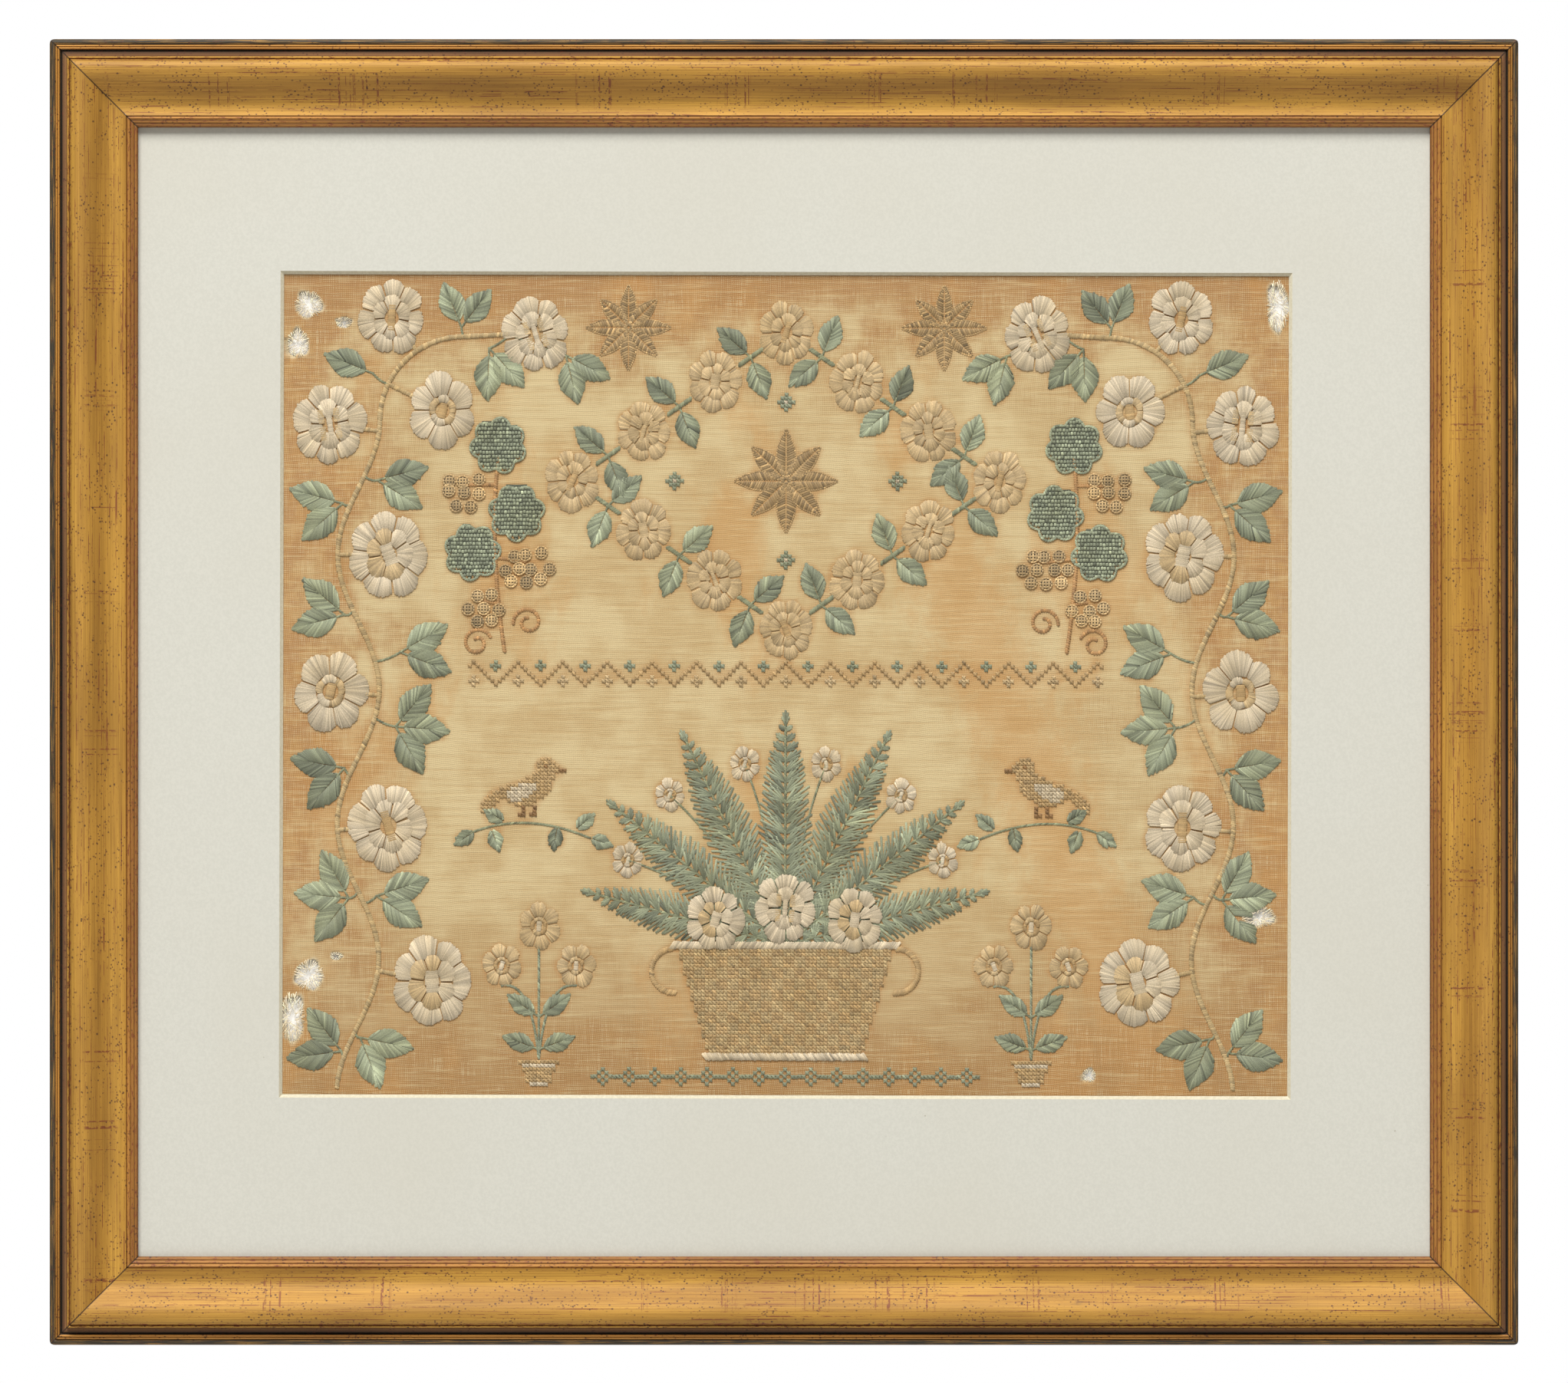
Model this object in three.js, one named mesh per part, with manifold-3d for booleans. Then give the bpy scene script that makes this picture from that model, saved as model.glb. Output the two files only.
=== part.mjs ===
// A framed sampler: an old embroidered gauze behind a bevelled mat, in a gilt moulding frame.
// Millimetres. X runs to the right, Y into the wall and Z up, so the front faces -Y.
// The origin is the middle of the top rail's back face, the place where the picture hangs.
import * as THREE from 'three';
import { mergeVertices } from 'three/addons/utils/BufferGeometryUtils.js';
import Module from 'manifold-3d';

const wasm = await Module();
wasm.setup();

// Driving sizes of the frame
const FRAME_WIDTH = 632;
const FRAME_HEIGHT = 562;
const RAIL_WIDTH = 38;
const BACK_SETBACK = 1.5;
const REBATE_DEPTH = 11;
const REBATE_WALL = 31;
const CORNER_RADIUS = 2.4;
const GAP = 0.3;
const MITRE_SETBACK = GAP / 2 * Math.SQRT2;
const BACK_MIDDLE = (BACK_SETBACK + REBATE_WALL) / 2;

// What the rebate holds, counted from the rebate's face backwards
const BOARD_CLEARANCE = 1;
const MAT_THICKNESS = 1.4;
const CLOTH_THICKNESS = 1;
const MOUNT_BOARD_THICKNESS = 4;
const MAT_FRONT = GAP - REBATE_DEPTH;
const MAT_BACK = MAT_FRONT + MAT_THICKNESS;
const CLOTH_FRONT = MAT_BACK + GAP;
const CLOTH_BACK = CLOTH_FRONT + CLOTH_THICKNESS;
const MOUNT_BOARD_FRONT = CLOTH_BACK + GAP;

// The mat's window, at its front face, and how it sits in the frame
const WINDOW = { width: 435.6, height: 356, x: 0.7, z: 2.9, turn: THREE.MathUtils.degToRad(0.12) };

// The cloth: grid steps across the window, with one more step under the mat all round
const CLOTH_COLUMNS = 20;
const CLOTH_ROWS = 16;
const RIPPLE_DEPTH = 0.35;
const RIPPLE_FADE = 14;
const LEAF_HEIGHT = 0.6;
const FLOWER_HEIGHT = 0.8;
const ROOT_DEPTH = 0.5;

// The moulding's section: s from the outer edge inwards, h from the back forwards.
// A row with a control point is a curve, the others are straight.
const SECTION = [
  { s: 0.3, h: 11.0 },
  { s: 0.0, h: 12.5 },
  { bend_s: 0.1, bend_h: 16.6, s: 2.6, h: 15.1 },
  { bend_s: 3.1, bend_h: 17.0, s: 3.6, h: 15.7 },
  { bend_s: 4.1, bend_h: 17.2, s: 4.6, h: 16.0 },
  { s: 5.2, h: 15.0 },
  { s: 5.7, h: 15.8 },
  { s: 7.6, h: 15.9 },
  { bend_s: 8.0, bend_h: 19.6, s: 8.7, h: 18.4 },
  { s: 8.9, h: 18.1 },
  { s: 9.1, h: 19.0 },
  { bend_s: 9.9, bend_h: 22.0, s: 13.0, h: 22.0 },
  { bend_s: 16.4, bend_h: 22.0, s: 19.0, h: 19.9 },
  { s: 22.0, h: 17.45 },
  { bend_s: 25.6, bend_h: 14.5, s: 28.4, h: 14.5 },
  { bend_s: 31.0, bend_h: 14.5, s: 33.0, h: 15.3 },
  { s: 33.2, h: 14.7 },
  { s: 33.6, h: 15.1 },
  { bend_s: 34.3, bend_h: 15.6, s: 35.0, h: 14.5 },
  { bend_s: 35.7, bend_h: 15.0, s: 36.5, h: 13.9 },
  { bend_s: 37.4, bend_h: 14.3, s: 38.0, h: 13.1 },
];
const CURVE_STEPS = 3;

const RAILS = [
  { name: 'rail_top', span: FRAME_WIDTH, across: FRAME_HEIGHT, turn: 0 },
  { name: 'rail_right', span: FRAME_HEIGHT, across: FRAME_WIDTH, turn: Math.PI / 2 },
  { name: 'rail_bottom', span: FRAME_WIDTH, across: FRAME_HEIGHT, turn: Math.PI },
  { name: 'rail_left', span: FRAME_HEIGHT, across: FRAME_WIDTH, turn: -Math.PI / 2 },
];

// The embroidery's raised forms, from the window's middle: x to the right, z up.
// The rows of a mirrored table stand on the left half and are repeated on the right.
const SIDE_ROSES = [
  { x: -152, z: -128, radius: 19 },
  { x: -171, z: -61, radius: 18.5 },
  { x: -196, z: -3, radius: 17.5 },
  { x: -171, z: 56, radius: 18.5 },
  { x: -196.5, z: 112, radius: 17 },
  { x: -148, z: 118, radius: 16 },
  { x: -170, z: 158, radius: 15.5 },
  { x: -108, z: 151, radius: 16 },
];
const SIDE_SPRIGS = [
  { x: -191, z: -158, length: 24, angles: [188, 128] },
  { x: -183, z: -152, length: 24, angles: [-12, -68] },
  { x: -188, z: -92, length: 24, angles: [120, 175, 232] },
  { x: -176, z: -91, length: 24, angles: [-34, 18] },
  { x: -190, z: -36, length: 24, angles: [170, 228] },
  { x: -168, z: -18, length: 24, angles: [-60, -5, 50] },
  { x: -166, z: 14, length: 24, angles: [-22, 30] },
  { x: -190, z: 30, length: 24, angles: [140, 195] },
  { x: -191, z: 78, length: 24, angles: [165, 222] },
  { x: -176, z: 88, length: 23, angles: [-32, 15] },
  { x: -178, z: 134, length: 23, angles: [158] },
  { x: -140, z: 154, length: 21, angles: [52, 112] },
  { x: -128, z: 145, length: 23, angles: [-92, -48] },
  { x: -95, z: 142, length: 22, angles: [-28, -76] },
];
const LEAF_SLIMNESS = 0.53;
const LEAF_STALK = 0.16;

// A lozenge garland: small roses at equal steps, a leaf on either side of each gap
const GARLAND = { z: 88, half_width: 92, half_height: 64, steps: 3, radius: 13, leaf: 19.5, lean: 76 };

const STARS = [
  { x: 0, z: 88, radius: 22 },
  { x: -68, z: 154, radius: 18 },
  { x: 68, z: 154, radius: 18 },
];

// A mirrored spray beside the garland: lobed leaves and bunches of berries
const SPRAY_LEAVES = [
  { x: -124, z: 103, radius: 11.5 },
  { x: -116, z: 74, radius: 11.5 },
  { x: -135, z: 57, radius: 11.5 },
];
const SPRAY_BERRIES = [
  { x: -139, z: 83, width: 21, height: 17 },
  { x: -112, z: 50, width: 26, height: 17 },
  { x: -130, z: 33, width: 20, height: 17 },
];

const BASKET = { foot: -160, rim: -112, foot_width: 66, rim_width: 94 };
const BASKET_ROSES = [
  { x: 0, z: -96, radius: 15 },
  { x: -30, z: -101, radius: 13.5 },
  { x: 30, z: -101, radius: 13.5 },
];
const FRONDS = [
  { angle: 90, length: 100, width: 21 },
  { angle: 64, length: 102, width: 21 },
  { angle: 116, length: 102, width: 21 },
  { angle: 39, length: 98, width: 20 },
  { angle: 141, length: 98, width: 20 },
  { angle: 15, length: 90, width: 18 },
  { angle: 165, length: 90, width: 18 },
];
const FROND_STALK = 0.015;

// Mirrored potted shrubs at the two lower corners of the middle field
const SHRUB_POT = { x: -106, foot: -173, rim: -162, foot_width: 11, rim_width: 17 };
const SHRUB_BLOSSOMS = [
  { x: -106, z: -104, radius: 10 },
  { x: -122, z: -121, radius: 9.5 },
  { x: -90, z: -121, radius: 9.5 },
];
const SHRUB_LEAVES = [
  { x: -106, z: -157, length: 17, angles: [20, 160] },
  { x: -106, z: -143, length: 17, angles: [35, 145] },
];

// Torn places that go right through the cloth
const TEARS = [
  { x: -190.6, z: 156.0, width: 6.3, height: 4.3, phase: 0.4 },
  { x: -205.7, z: 163.6, width: 10.6, height: 10.2, phase: 1.7 },
  { x: -210.3, z: 146.8, width: 8.6, height: 10.9, phase: 2.9 },
  { x: -205.0, z: -125.2, width: 11.2, height: 11.6, phase: 4.1 },
  { x: -212.1, z: -143.5, width: 9.2, height: 19.1, phase: 5.2 },
  { x: 211.6, z: 163.4, width: 8.3, height: 19.8, phase: 0.9 },
  { x: 204.0, z: -99.2, width: 12.5, height: 8.3, phase: 2.2 },
  { x: 131.0, z: -167.7, width: 5.3, height: 5.3, phase: 3.6 },
];
const TEAR_POINTS = 11;

// Finishes
const gilt = new THREE.MeshStandardMaterial({ color: 0xb6864a, roughness: 0.42, metalness: 0.55 });
const matCard = new THREE.MeshStandardMaterial({ color: 0xdbd8c8, roughness: 0.9, metalness: 0 });
const gauze = new THREE.MeshStandardMaterial({ color: 0xdcbf8e, roughness: 0.95, metalness: 0 });
const whiteCard = new THREE.MeshStandardMaterial({ color: 0xf2efe6, roughness: 0.9, metalness: 0 });

// A closed geometry as a solid that can be joined and cut
function solidFrom(geometry) {
  const bare = geometry.clone();
  bare.deleteAttribute('normal');
  bare.deleteAttribute('uv');
  const merged = mergeVertices(bare, 1e-4);
  return new wasm.Manifold(new wasm.Mesh({
    numProp: 3,
    vertProperties: new Float32Array(merged.attributes.position.array),
    triVerts: new Uint32Array(merged.index.array),
  }));
}

function geometryFrom(solid) {
  const mesh = solid.getMesh();
  const geometry = new THREE.BufferGeometry();
  geometry.setAttribute('position', new THREE.BufferAttribute(mesh.vertProperties, 3));
  geometry.setIndex(new THREE.BufferAttribute(mesh.triVerts, 1));
  geometry.computeVertexNormals();
  return geometry;
}

// Moves each corner of a geometry to where the given function puts it
function reshape(geometry, place) {
  const positions = geometry.attributes.position;
  const corner = new THREE.Vector3();
  for (let i = 0; i < positions.count; i += 1) {
    corner.fromBufferAttribute(positions, i);
    place(corner);
    positions.setXYZ(i, corner.x, corner.y, corner.z);
  }
  return geometry;
}

// A flat outline in x and z as a slab between two depths, the first nearer the front
function slab(shape, front, back, curveSegments = CURVE_STEPS) {
  const depth = back - front;
  const geometry = new THREE.ExtrudeGeometry(shape, { depth, bevelEnabled: false, curveSegments });
  geometry.rotateX(Math.PI / 2);
  geometry.translate(0, back, 0);
  return geometry;
}

function roundedRectangle(width, height, radius) {
  const right = width / 2;
  const top = height / 2;
  const shape = new THREE.Shape();
  shape.absarc(right - radius, top - radius, radius, 0, Math.PI / 2);
  shape.absarc(radius - right, top - radius, radius, Math.PI / 2, Math.PI);
  shape.absarc(radius - right, radius - top, radius, Math.PI, Math.PI * 1.5);
  shape.absarc(right - radius, radius - top, radius, Math.PI * 1.5, Math.PI * 2);
  return shape;
}

function railSection() {
  const shape = new THREE.Shape();
  shape.moveTo(BACK_SETBACK, 0);
  for (const row of SECTION) {
    if (row.bend_s === undefined) {
      shape.lineTo(row.s, row.h);
    } else {
      shape.quadraticCurveTo(row.bend_s, row.bend_h, row.s, row.h);
    }
  }
  shape.lineTo(RAIL_WIDTH, REBATE_DEPTH);
  shape.lineTo(REBATE_WALL, REBATE_DEPTH);
  shape.lineTo(REBATE_WALL, 0);
  return shape;
}

// One moulding length with mitred ends, lying along the top of the frame
function railGeometry(span, across) {
  const settings = { depth: 1, bevelEnabled: false, curveSegments: CURVE_STEPS };
  const length = new THREE.ExtrudeGeometry(railSection(), settings);
  reshape(length, (corner) => {
    const half = span / 2 - corner.x - MITRE_SETBACK;
    corner.set((1 - 2 * corner.z) * half, -corner.y, across / 2 - corner.x);
  });
  const outline = slab(roundedRectangle(span, across, CORNER_RADIUS), -RAIL_WIDTH, RAIL_WIDTH);
  return geometryFrom(solidFrom(length).intersect(solidFrom(outline)));
}

// The mat: a card with a window whose four edges are cut at 45 degrees
function matGeometry(width, height) {
  const card = new THREE.BoxGeometry(width, MAT_THICKNESS, height);
  card.translate(0, (MAT_FRONT + MAT_BACK) / 2, boardDrop());
  const overshoot = 1;
  const cutter = new THREE.BoxGeometry(2, MAT_THICKNESS + 2 * overshoot, 2);
  reshape(cutter, (corner) => {
    const cut = corner.y + MAT_THICKNESS / 2;
    corner.x *= WINDOW.width / 2 - cut;
    corner.z *= WINDOW.height / 2 - cut;
    corner.y += (MAT_FRONT + MAT_BACK) / 2;
  });
  cutter.rotateY(WINDOW.turn);
  cutter.translate(WINDOW.x, 0, WINDOW.z);
  return geometryFrom(solidFrom(card).subtract(solidFrom(cutter)));
}

// The boards are a little smaller than the rebate and rest on its lower wall
function boardDrop() {
  return GAP - BOARD_CLEARANCE;
}

// Slight puckers, strongest towards the edges and gone where the mat presses the cloth flat
function ripple(x, z, halfWidth, halfHeight) {
  const fromEdge = Math.min(halfWidth - Math.abs(x), halfHeight - Math.abs(z));
  const inside = THREE.MathUtils.smoothstep(fromEdge, 0, RIPPLE_FADE);
  const nearEdge = Math.max(Math.abs(x) / halfWidth, Math.abs(z) / halfHeight) ** 4;
  const wave = Math.sin(x / 19 + 1.3 * Math.sin(z / 47)) * Math.cos(z / 23 + 0.8 * Math.sin(x / 61));
  return RIPPLE_DEPTH * inside * (0.35 + 0.65 * nearEdge) * (0.5 + 0.5 * wave);
}

function clothSheet() {
  const halfWidth = WINDOW.width / 2 - MAT_THICKNESS;
  const halfHeight = WINDOW.height / 2 - MAT_THICKNESS;
  const width = 2 * halfWidth * (CLOTH_COLUMNS + 2) / CLOTH_COLUMNS;
  const height = 2 * halfHeight * (CLOTH_ROWS + 2) / CLOTH_ROWS;
  const sheet = new THREE.BoxGeometry(width, CLOTH_THICKNESS, height, CLOTH_COLUMNS + 2, 1, CLOTH_ROWS + 2);
  return reshape(sheet, (corner) => {
    const raised = corner.y < 0 ? ripple(corner.x, corner.z, halfWidth, halfHeight) : 0;
    corner.y += (CLOTH_FRONT + CLOTH_BACK) / 2 - raised;
  });
}

// Outlines of the motifs, each a closed shape in x and z
function outline(points, count) {
  const shape = new THREE.Shape();
  shape.setFromPoints(Array.from({ length: count }, (_, i) => points(i / count)));
  return shape;
}

// An upright oval with six shallow scallops
function roseShape({ x, z, radius }) {
  return outline((t) => {
    const angle = t * 2 * Math.PI;
    const reach = radius * (0.95 + 0.05 * Math.cos(6 * angle));
    return new THREE.Vector2(x + 0.94 * reach * Math.cos(angle), z + 1.06 * reach * Math.sin(angle));
  }, 12);
}

function lobedShape({ x, z, radius }) {
  return outline((t) => {
    const angle = t * 2 * Math.PI;
    const reach = radius * (0.9 + 0.1 * Math.cos(7 * angle));
    return new THREE.Vector2(x + reach * Math.sin(angle), z + reach * Math.cos(angle));
  }, 14);
}

function bunchShape({ x, z, width, height }) {
  return outline((t) => {
    const angle = t * 2 * Math.PI;
    return new THREE.Vector2(x + width / 2 * Math.cos(angle), z + height / 2 * Math.sin(angle));
  }, 10);
}

function starShape({ x, z, radius }) {
  return outline((t) => {
    const angle = t * 2 * Math.PI;
    const reach = Math.round(t * 16) % 2 === 0 ? radius : radius * 0.42;
    return new THREE.Vector2(x + reach * Math.cos(angle), z + reach * Math.sin(angle));
  }, 16);
}

// A pointed leaf from its stalk outwards, widest a little before the middle.
// The stalk is a share of the length.
function leafShape(x, z, angle, length, width = length * LEAF_SLIMNESS, stalk = LEAF_STALK) {
  const turn = THREE.MathUtils.degToRad(angle);
  const along = new THREE.Vector2(Math.cos(turn), Math.sin(turn));
  const side = new THREE.Vector2(-along.y, along.x);
  return outline((t) => {
    const way = t < 0.5 ? 2 * t : 2 - 2 * t;
    const half = width / 2 * Math.sin(Math.PI * way ** 0.85) * (t < 0.5 ? 1 : -1);
    const reach = THREE.MathUtils.lerp(length * stalk, length, way);
    return new THREE.Vector2(x, z).addScaledVector(along, reach).addScaledVector(side, half);
  }, 8);
}

function tubShape({ x = 0, foot, rim, foot_width, rim_width }) {
  const shape = new THREE.Shape();
  shape.moveTo(x - foot_width / 2, foot);
  shape.lineTo(x + foot_width / 2, foot);
  shape.lineTo(x + rim_width / 2, rim);
  shape.lineTo(x - rim_width / 2, rim);
  return shape;
}

// The same rows again on the other half
function mirrored(rows) {
  return rows.concat(rows.map((row) => ({ ...row, x: -row.x })));
}

// The leaves of a left half sprig, or of its mirror image on the right
function sprigLeaves({ x, z, length, angles }) {
  return angles.map((angle) => leafShape(x, z, x < 0 ? angle : 180 - angle, length));
}

// The garland's roses and leaves, walked once round the lozenge
function garlandPlaces() {
  const { z, half_width: wide, half_height: high, steps } = GARLAND;
  const corners = [[wide, z], [0, z + high], [-wide, z], [0, z - high], [wide, z]];
  const roses = [];
  const leaves = [];
  for (let side = 0; side < 4; side += 1) {
    const [from, to] = [corners[side], corners[side + 1]];
    const heading = THREE.MathUtils.radToDeg(Math.atan2(to[1] - from[1], to[0] - from[0]));
    for (let step = 0; step < steps; step += 1) {
      const at = (part) => ({
        x: THREE.MathUtils.lerp(from[0], to[0], (step + part) / steps),
        z: THREE.MathUtils.lerp(from[1], to[1], (step + part) / steps),
      });
      roses.push({ ...at(0), radius: GARLAND.radius });
      leaves.push({ ...at(0.5), angle: heading + GARLAND.lean });
      leaves.push({ ...at(0.5), angle: heading - GARLAND.lean });
    }
  }
  return { roses, leaves };
}

// The cloth with its raised embroidery and its torn places
function clothGeometry() {
  const garland = garlandPlaces();
  const flowers = [
    ...mirrored(SIDE_ROSES).map(roseShape),
    ...garland.roses.map(roseShape),
    ...BASKET_ROSES.map(roseShape),
    ...mirrored(SHRUB_BLOSSOMS).map(roseShape),
  ];
  const greenery = [
    ...mirrored([...SIDE_SPRIGS, ...SHRUB_LEAVES]).flatMap(sprigLeaves),
    ...garland.leaves.map(({ x, z, angle }) => leafShape(x, z, angle, GARLAND.leaf)),
    ...mirrored(SPRAY_LEAVES).map(lobedShape),
    ...mirrored(SPRAY_BERRIES).map(bunchShape),
    ...STARS.map(starShape),
    ...FRONDS.map((frond) => leafShape(0, BASKET.rim, frond.angle, frond.length, frond.width, FROND_STALK)),
    tubShape(BASKET),
    ...mirrored([SHRUB_POT]).map(tubShape),
  ];
  const root = CLOTH_FRONT + ROOT_DEPTH;
  let cloth = solidFrom(clothSheet());
  for (const shape of greenery) {
    cloth = cloth.add(solidFrom(slab(shape, CLOTH_FRONT - LEAF_HEIGHT, root)));
  }
  for (const shape of flowers) {
    cloth = cloth.add(solidFrom(slab(shape, CLOTH_FRONT - FLOWER_HEIGHT, root)));
  }
  for (const tear of TEARS) {
    cloth = cloth.subtract(solidFrom(slab(tearShape(tear), MAT_FRONT, MOUNT_BOARD_FRONT)));
  }
  return geometryFrom(cloth);
}

function tearShape({ x, z, width, height, phase }) {
  return outline((t) => {
    const angle = t * 2 * Math.PI;
    const ragged = 1 + 0.14 * Math.sin(3 * angle + phase) + 0.09 * Math.sin(5 * angle + 2 * phase);
    const reachX = width / 2 * ragged * Math.cos(angle);
    const reachZ = height / 2 * ragged * Math.sin(angle);
    return new THREE.Vector2(x + reachX, z + reachZ);
  }, TEAR_POINTS);
}

function node(name, geometry, material) {
  const mesh = new THREE.Mesh(geometry, material);
  mesh.name = name;
  return mesh;
}

const picture = new THREE.Group();
picture.position.z = BACK_MIDDLE - FRAME_HEIGHT / 2;

for (const { name, span, across, turn } of RAILS) {
  const rail = node(name, railGeometry(span, across), gilt);
  rail.rotation.y = turn;
  picture.add(rail);
}

const boardWidth = FRAME_WIDTH - 2 * (REBATE_WALL + BOARD_CLEARANCE);
const boardHeight = FRAME_HEIGHT - 2 * (REBATE_WALL + BOARD_CLEARANCE);
picture.add(node('mat', matGeometry(boardWidth, boardHeight), matCard));

const cloth = node('cloth', clothGeometry(), gauze);
cloth.rotation.y = WINDOW.turn;
cloth.position.set(WINDOW.x, 0, WINDOW.z);
picture.add(cloth);

const mountBoard = new THREE.BoxGeometry(boardWidth, MOUNT_BOARD_THICKNESS, boardHeight);
const backing = node('mount_board', mountBoard, whiteCard);
backing.position.set(0, MOUNT_BOARD_FRONT + MOUNT_BOARD_THICKNESS / 2, boardDrop());
picture.add(backing);

const group = new THREE.Group();
group.add(picture);
export default group;
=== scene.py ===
"""Looks for the framed sampler: gilt moulding, bevelled mat, old gauze and its embroidery.

Lengths in the tables are millimetres. Places on the cloth are counted from the middle of the
mat's window, x to the right and z up, and heights from the flat cloth forwards. Colours are
sRGB, 0 to 255.
"""

import math

import bpy
import numpy as np
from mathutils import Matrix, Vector


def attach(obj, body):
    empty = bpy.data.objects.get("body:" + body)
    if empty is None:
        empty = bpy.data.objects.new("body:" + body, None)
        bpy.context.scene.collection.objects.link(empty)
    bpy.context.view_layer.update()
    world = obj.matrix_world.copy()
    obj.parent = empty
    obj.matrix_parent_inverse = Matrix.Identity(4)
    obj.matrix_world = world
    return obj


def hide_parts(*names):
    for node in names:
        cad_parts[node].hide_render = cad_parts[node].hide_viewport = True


MM = 0.001
rng = np.random.default_rng(11)

# The frame, as in the CAD
FRAME_WIDTH = 632
FRAME_HEIGHT = 562
FRAME_MIDDLE_Z = -264.75
RAIL_WIDTH = 38
BACK_SETBACK = 1.5
REBATE_DEPTH = 11
REBATE_WALL = 31
CORNER_RADIUS = 2.4
MITRE_SETBACK = 0.03
WINDOW_X = 0.7
WINDOW_Z = -261.85
WINDOW_TURN = math.radians(0.12)

# The cloth, as in the CAD: what shows in the window, and the whole cut
HALF_WIDTH = 216.4
HALF_HEIGHT = 176.6
CUT_WIDTH = 476.1
CUT_HEIGHT = 397.4
CLOTH_FRONT = 9.0
CLOTH_THICKNESS = 0.5
RIPPLE_DEPTH = 0.35
RIPPLE_FADE = 14

# The moulding's section: s from the outer edge inwards, h from the back forwards.
# A row of four starts with the control point of a curve.
SECTION = [
    (0.3, 11.0),
    (0.0, 12.5),
    (0.1, 16.6, 2.6, 15.1),
    (3.1, 17.0, 3.6, 15.7),
    (4.1, 17.2, 4.6, 16.0),
    (5.2, 15.0),
    (5.7, 15.8),
    (7.6, 15.9),
    (8.0, 19.6, 8.7, 18.4),
    (8.9, 18.1),
    (9.1, 19.0),
    (9.9, 22.0, 13.0, 22.0),
    (16.4, 22.0, 19.0, 19.9),
    (22.0, 17.45),
    (25.6, 14.5, 28.4, 14.5),
    (31.0, 14.5, 33.0, 15.3),
    (33.2, 14.7),
    (33.6, 15.1),
    (34.3, 15.6, 35.0, 14.5),
    (35.7, 15.0, 36.5, 13.9),
    (37.4, 14.3, 38.0, 13.1),
]
# Rails: node, length, the frame's size across it, turn, and where its streaks start
RAILS = [
    ("rail_top", FRAME_WIDTH, FRAME_HEIGHT, 0, 0),
    ("rail_right", FRAME_HEIGHT, FRAME_WIDTH, 90, 2100),
    ("rail_bottom", FRAME_WIDTH, FRAME_HEIGHT, 180, 4700),
    ("rail_left", FRAME_HEIGHT, FRAME_WIDTH, -90, 7300),
]
# Rings of points along a rail: how far the first ones stand from its end, then the usual step
END_RINGS = [0, 0.25, 0.55, 0.9, 1.4, 2.0, 2.8, 4]
END_LENGTH = 8
RING_STEP = 5.5
# On the baking map: room for the section's last edge, and the place of the mitred ends
BACK_EDGE = 32
MITRE_PLACE = (0.99, 0.99)

# Motifs. The rows of a mirrored table stand on the left and are repeated on the right.
# Roses: x, z, radius, kind
SIDE_ROSES = [
    (-152, -128, 19, "hearted"),
    (-171, -61, 18.5, "slotted"),
    (-196, -3, 17.5, "single"),
    (-171, 56, 18.5, "hearted"),
    (-196.5, 112, 17, "quartered"),
    (-148, 118, 16, "single"),
    (-170, 158, 15.5, "slotted"),
    (-108, 151, 16, "quartered"),
]
# The side's main stem: its middle, sway, wave length, foot, top and last place,
# then the middle and the radius of its bend round the corner
STEM_X = -184
STEM_SWAY = 9
STEM_WAVE = 116
STEM_FOOT = -176
STEM_TOP = 114
STEM_END = (-119, 151)
CORNER_X = -139
CORNER_BEND = 36
# Sprigs: x, z, leaf length, leaf angles
SIDE_SPRIGS = [
    (-191, -158, 24, (188, 128)),
    (-183, -152, 24, (-12, -68)),
    (-188, -92, 24, (120, 175, 232)),
    (-176, -91, 24, (-34, 18)),
    (-190, -36, 24, (170, 228)),
    (-168, -18, 24, (-60, -5, 50)),
    (-166, 14, 24, (-22, 30)),
    (-190, 30, 24, (140, 195)),
    (-191, 78, 24, (165, 222)),
    (-176, 88, 23, (-32, 15)),
    (-178, 134, 23, (158,)),
    (-140, 154, 21, (52, 112)),
    (-128, 145, 23, (-92, -48)),
    (-95, 142, 22, (-28, -76)),
]
LEAF_SLIMNESS = 0.53
LEAF_STALK = 0.16
LEAF_PITCH = 0.92
PETAL_PITCH = 0.78
BLOCK_PITCH = 0.85
OVAL = np.array([0.94, 1.06])
GARLAND_Z = 88
GARLAND_HALF_WIDTH = 92
GARLAND_HALF_HEIGHT = 64
GARLAND_STEPS = 3
GARLAND_ROSE = 13
GARLAND_LEAF = 19.5
GARLAND_LEAN = 76
STARS = [(0, 88, 22), (-68, 154, 18), (68, 154, 18)]
DIAMONDS = [(0, 122), (0, 54), (-48, 88), (48, 88)]
SPRAY_LEAVES = [(-124, 103, 11.5), (-116, 74, 11.5), (-135, 57, 11.5)]
# Bunches of berries: x, z, berries in each row
SPRAY_BERRIES = [(-139, 83, (3, 3, 2)), (-112, 50, (3, 4, 3)), (-130, 33, (2, 3, 2))]
BERRY_STEP = 6.3
BERRY_RADIUS = 2.3
BERRY_RING = 2.65
LATTICE_STEP = 1.3
LOBES = 7
LOBE_FOOT = 0.84
LOBE_HEIGHT = 0.21
LOBED_ROW = 1.7
LOBED_PITCH = 1.35
BASKET_RIM = -112
BASKET_FOOT = -160
# Half width of the weave at the foot, what it gains up to the rim, and the two bands' half widths
BASKET_HALF = 33
BASKET_FLARE = 14
RIM_HALF = 49
FOOT_HALF = 35
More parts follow.
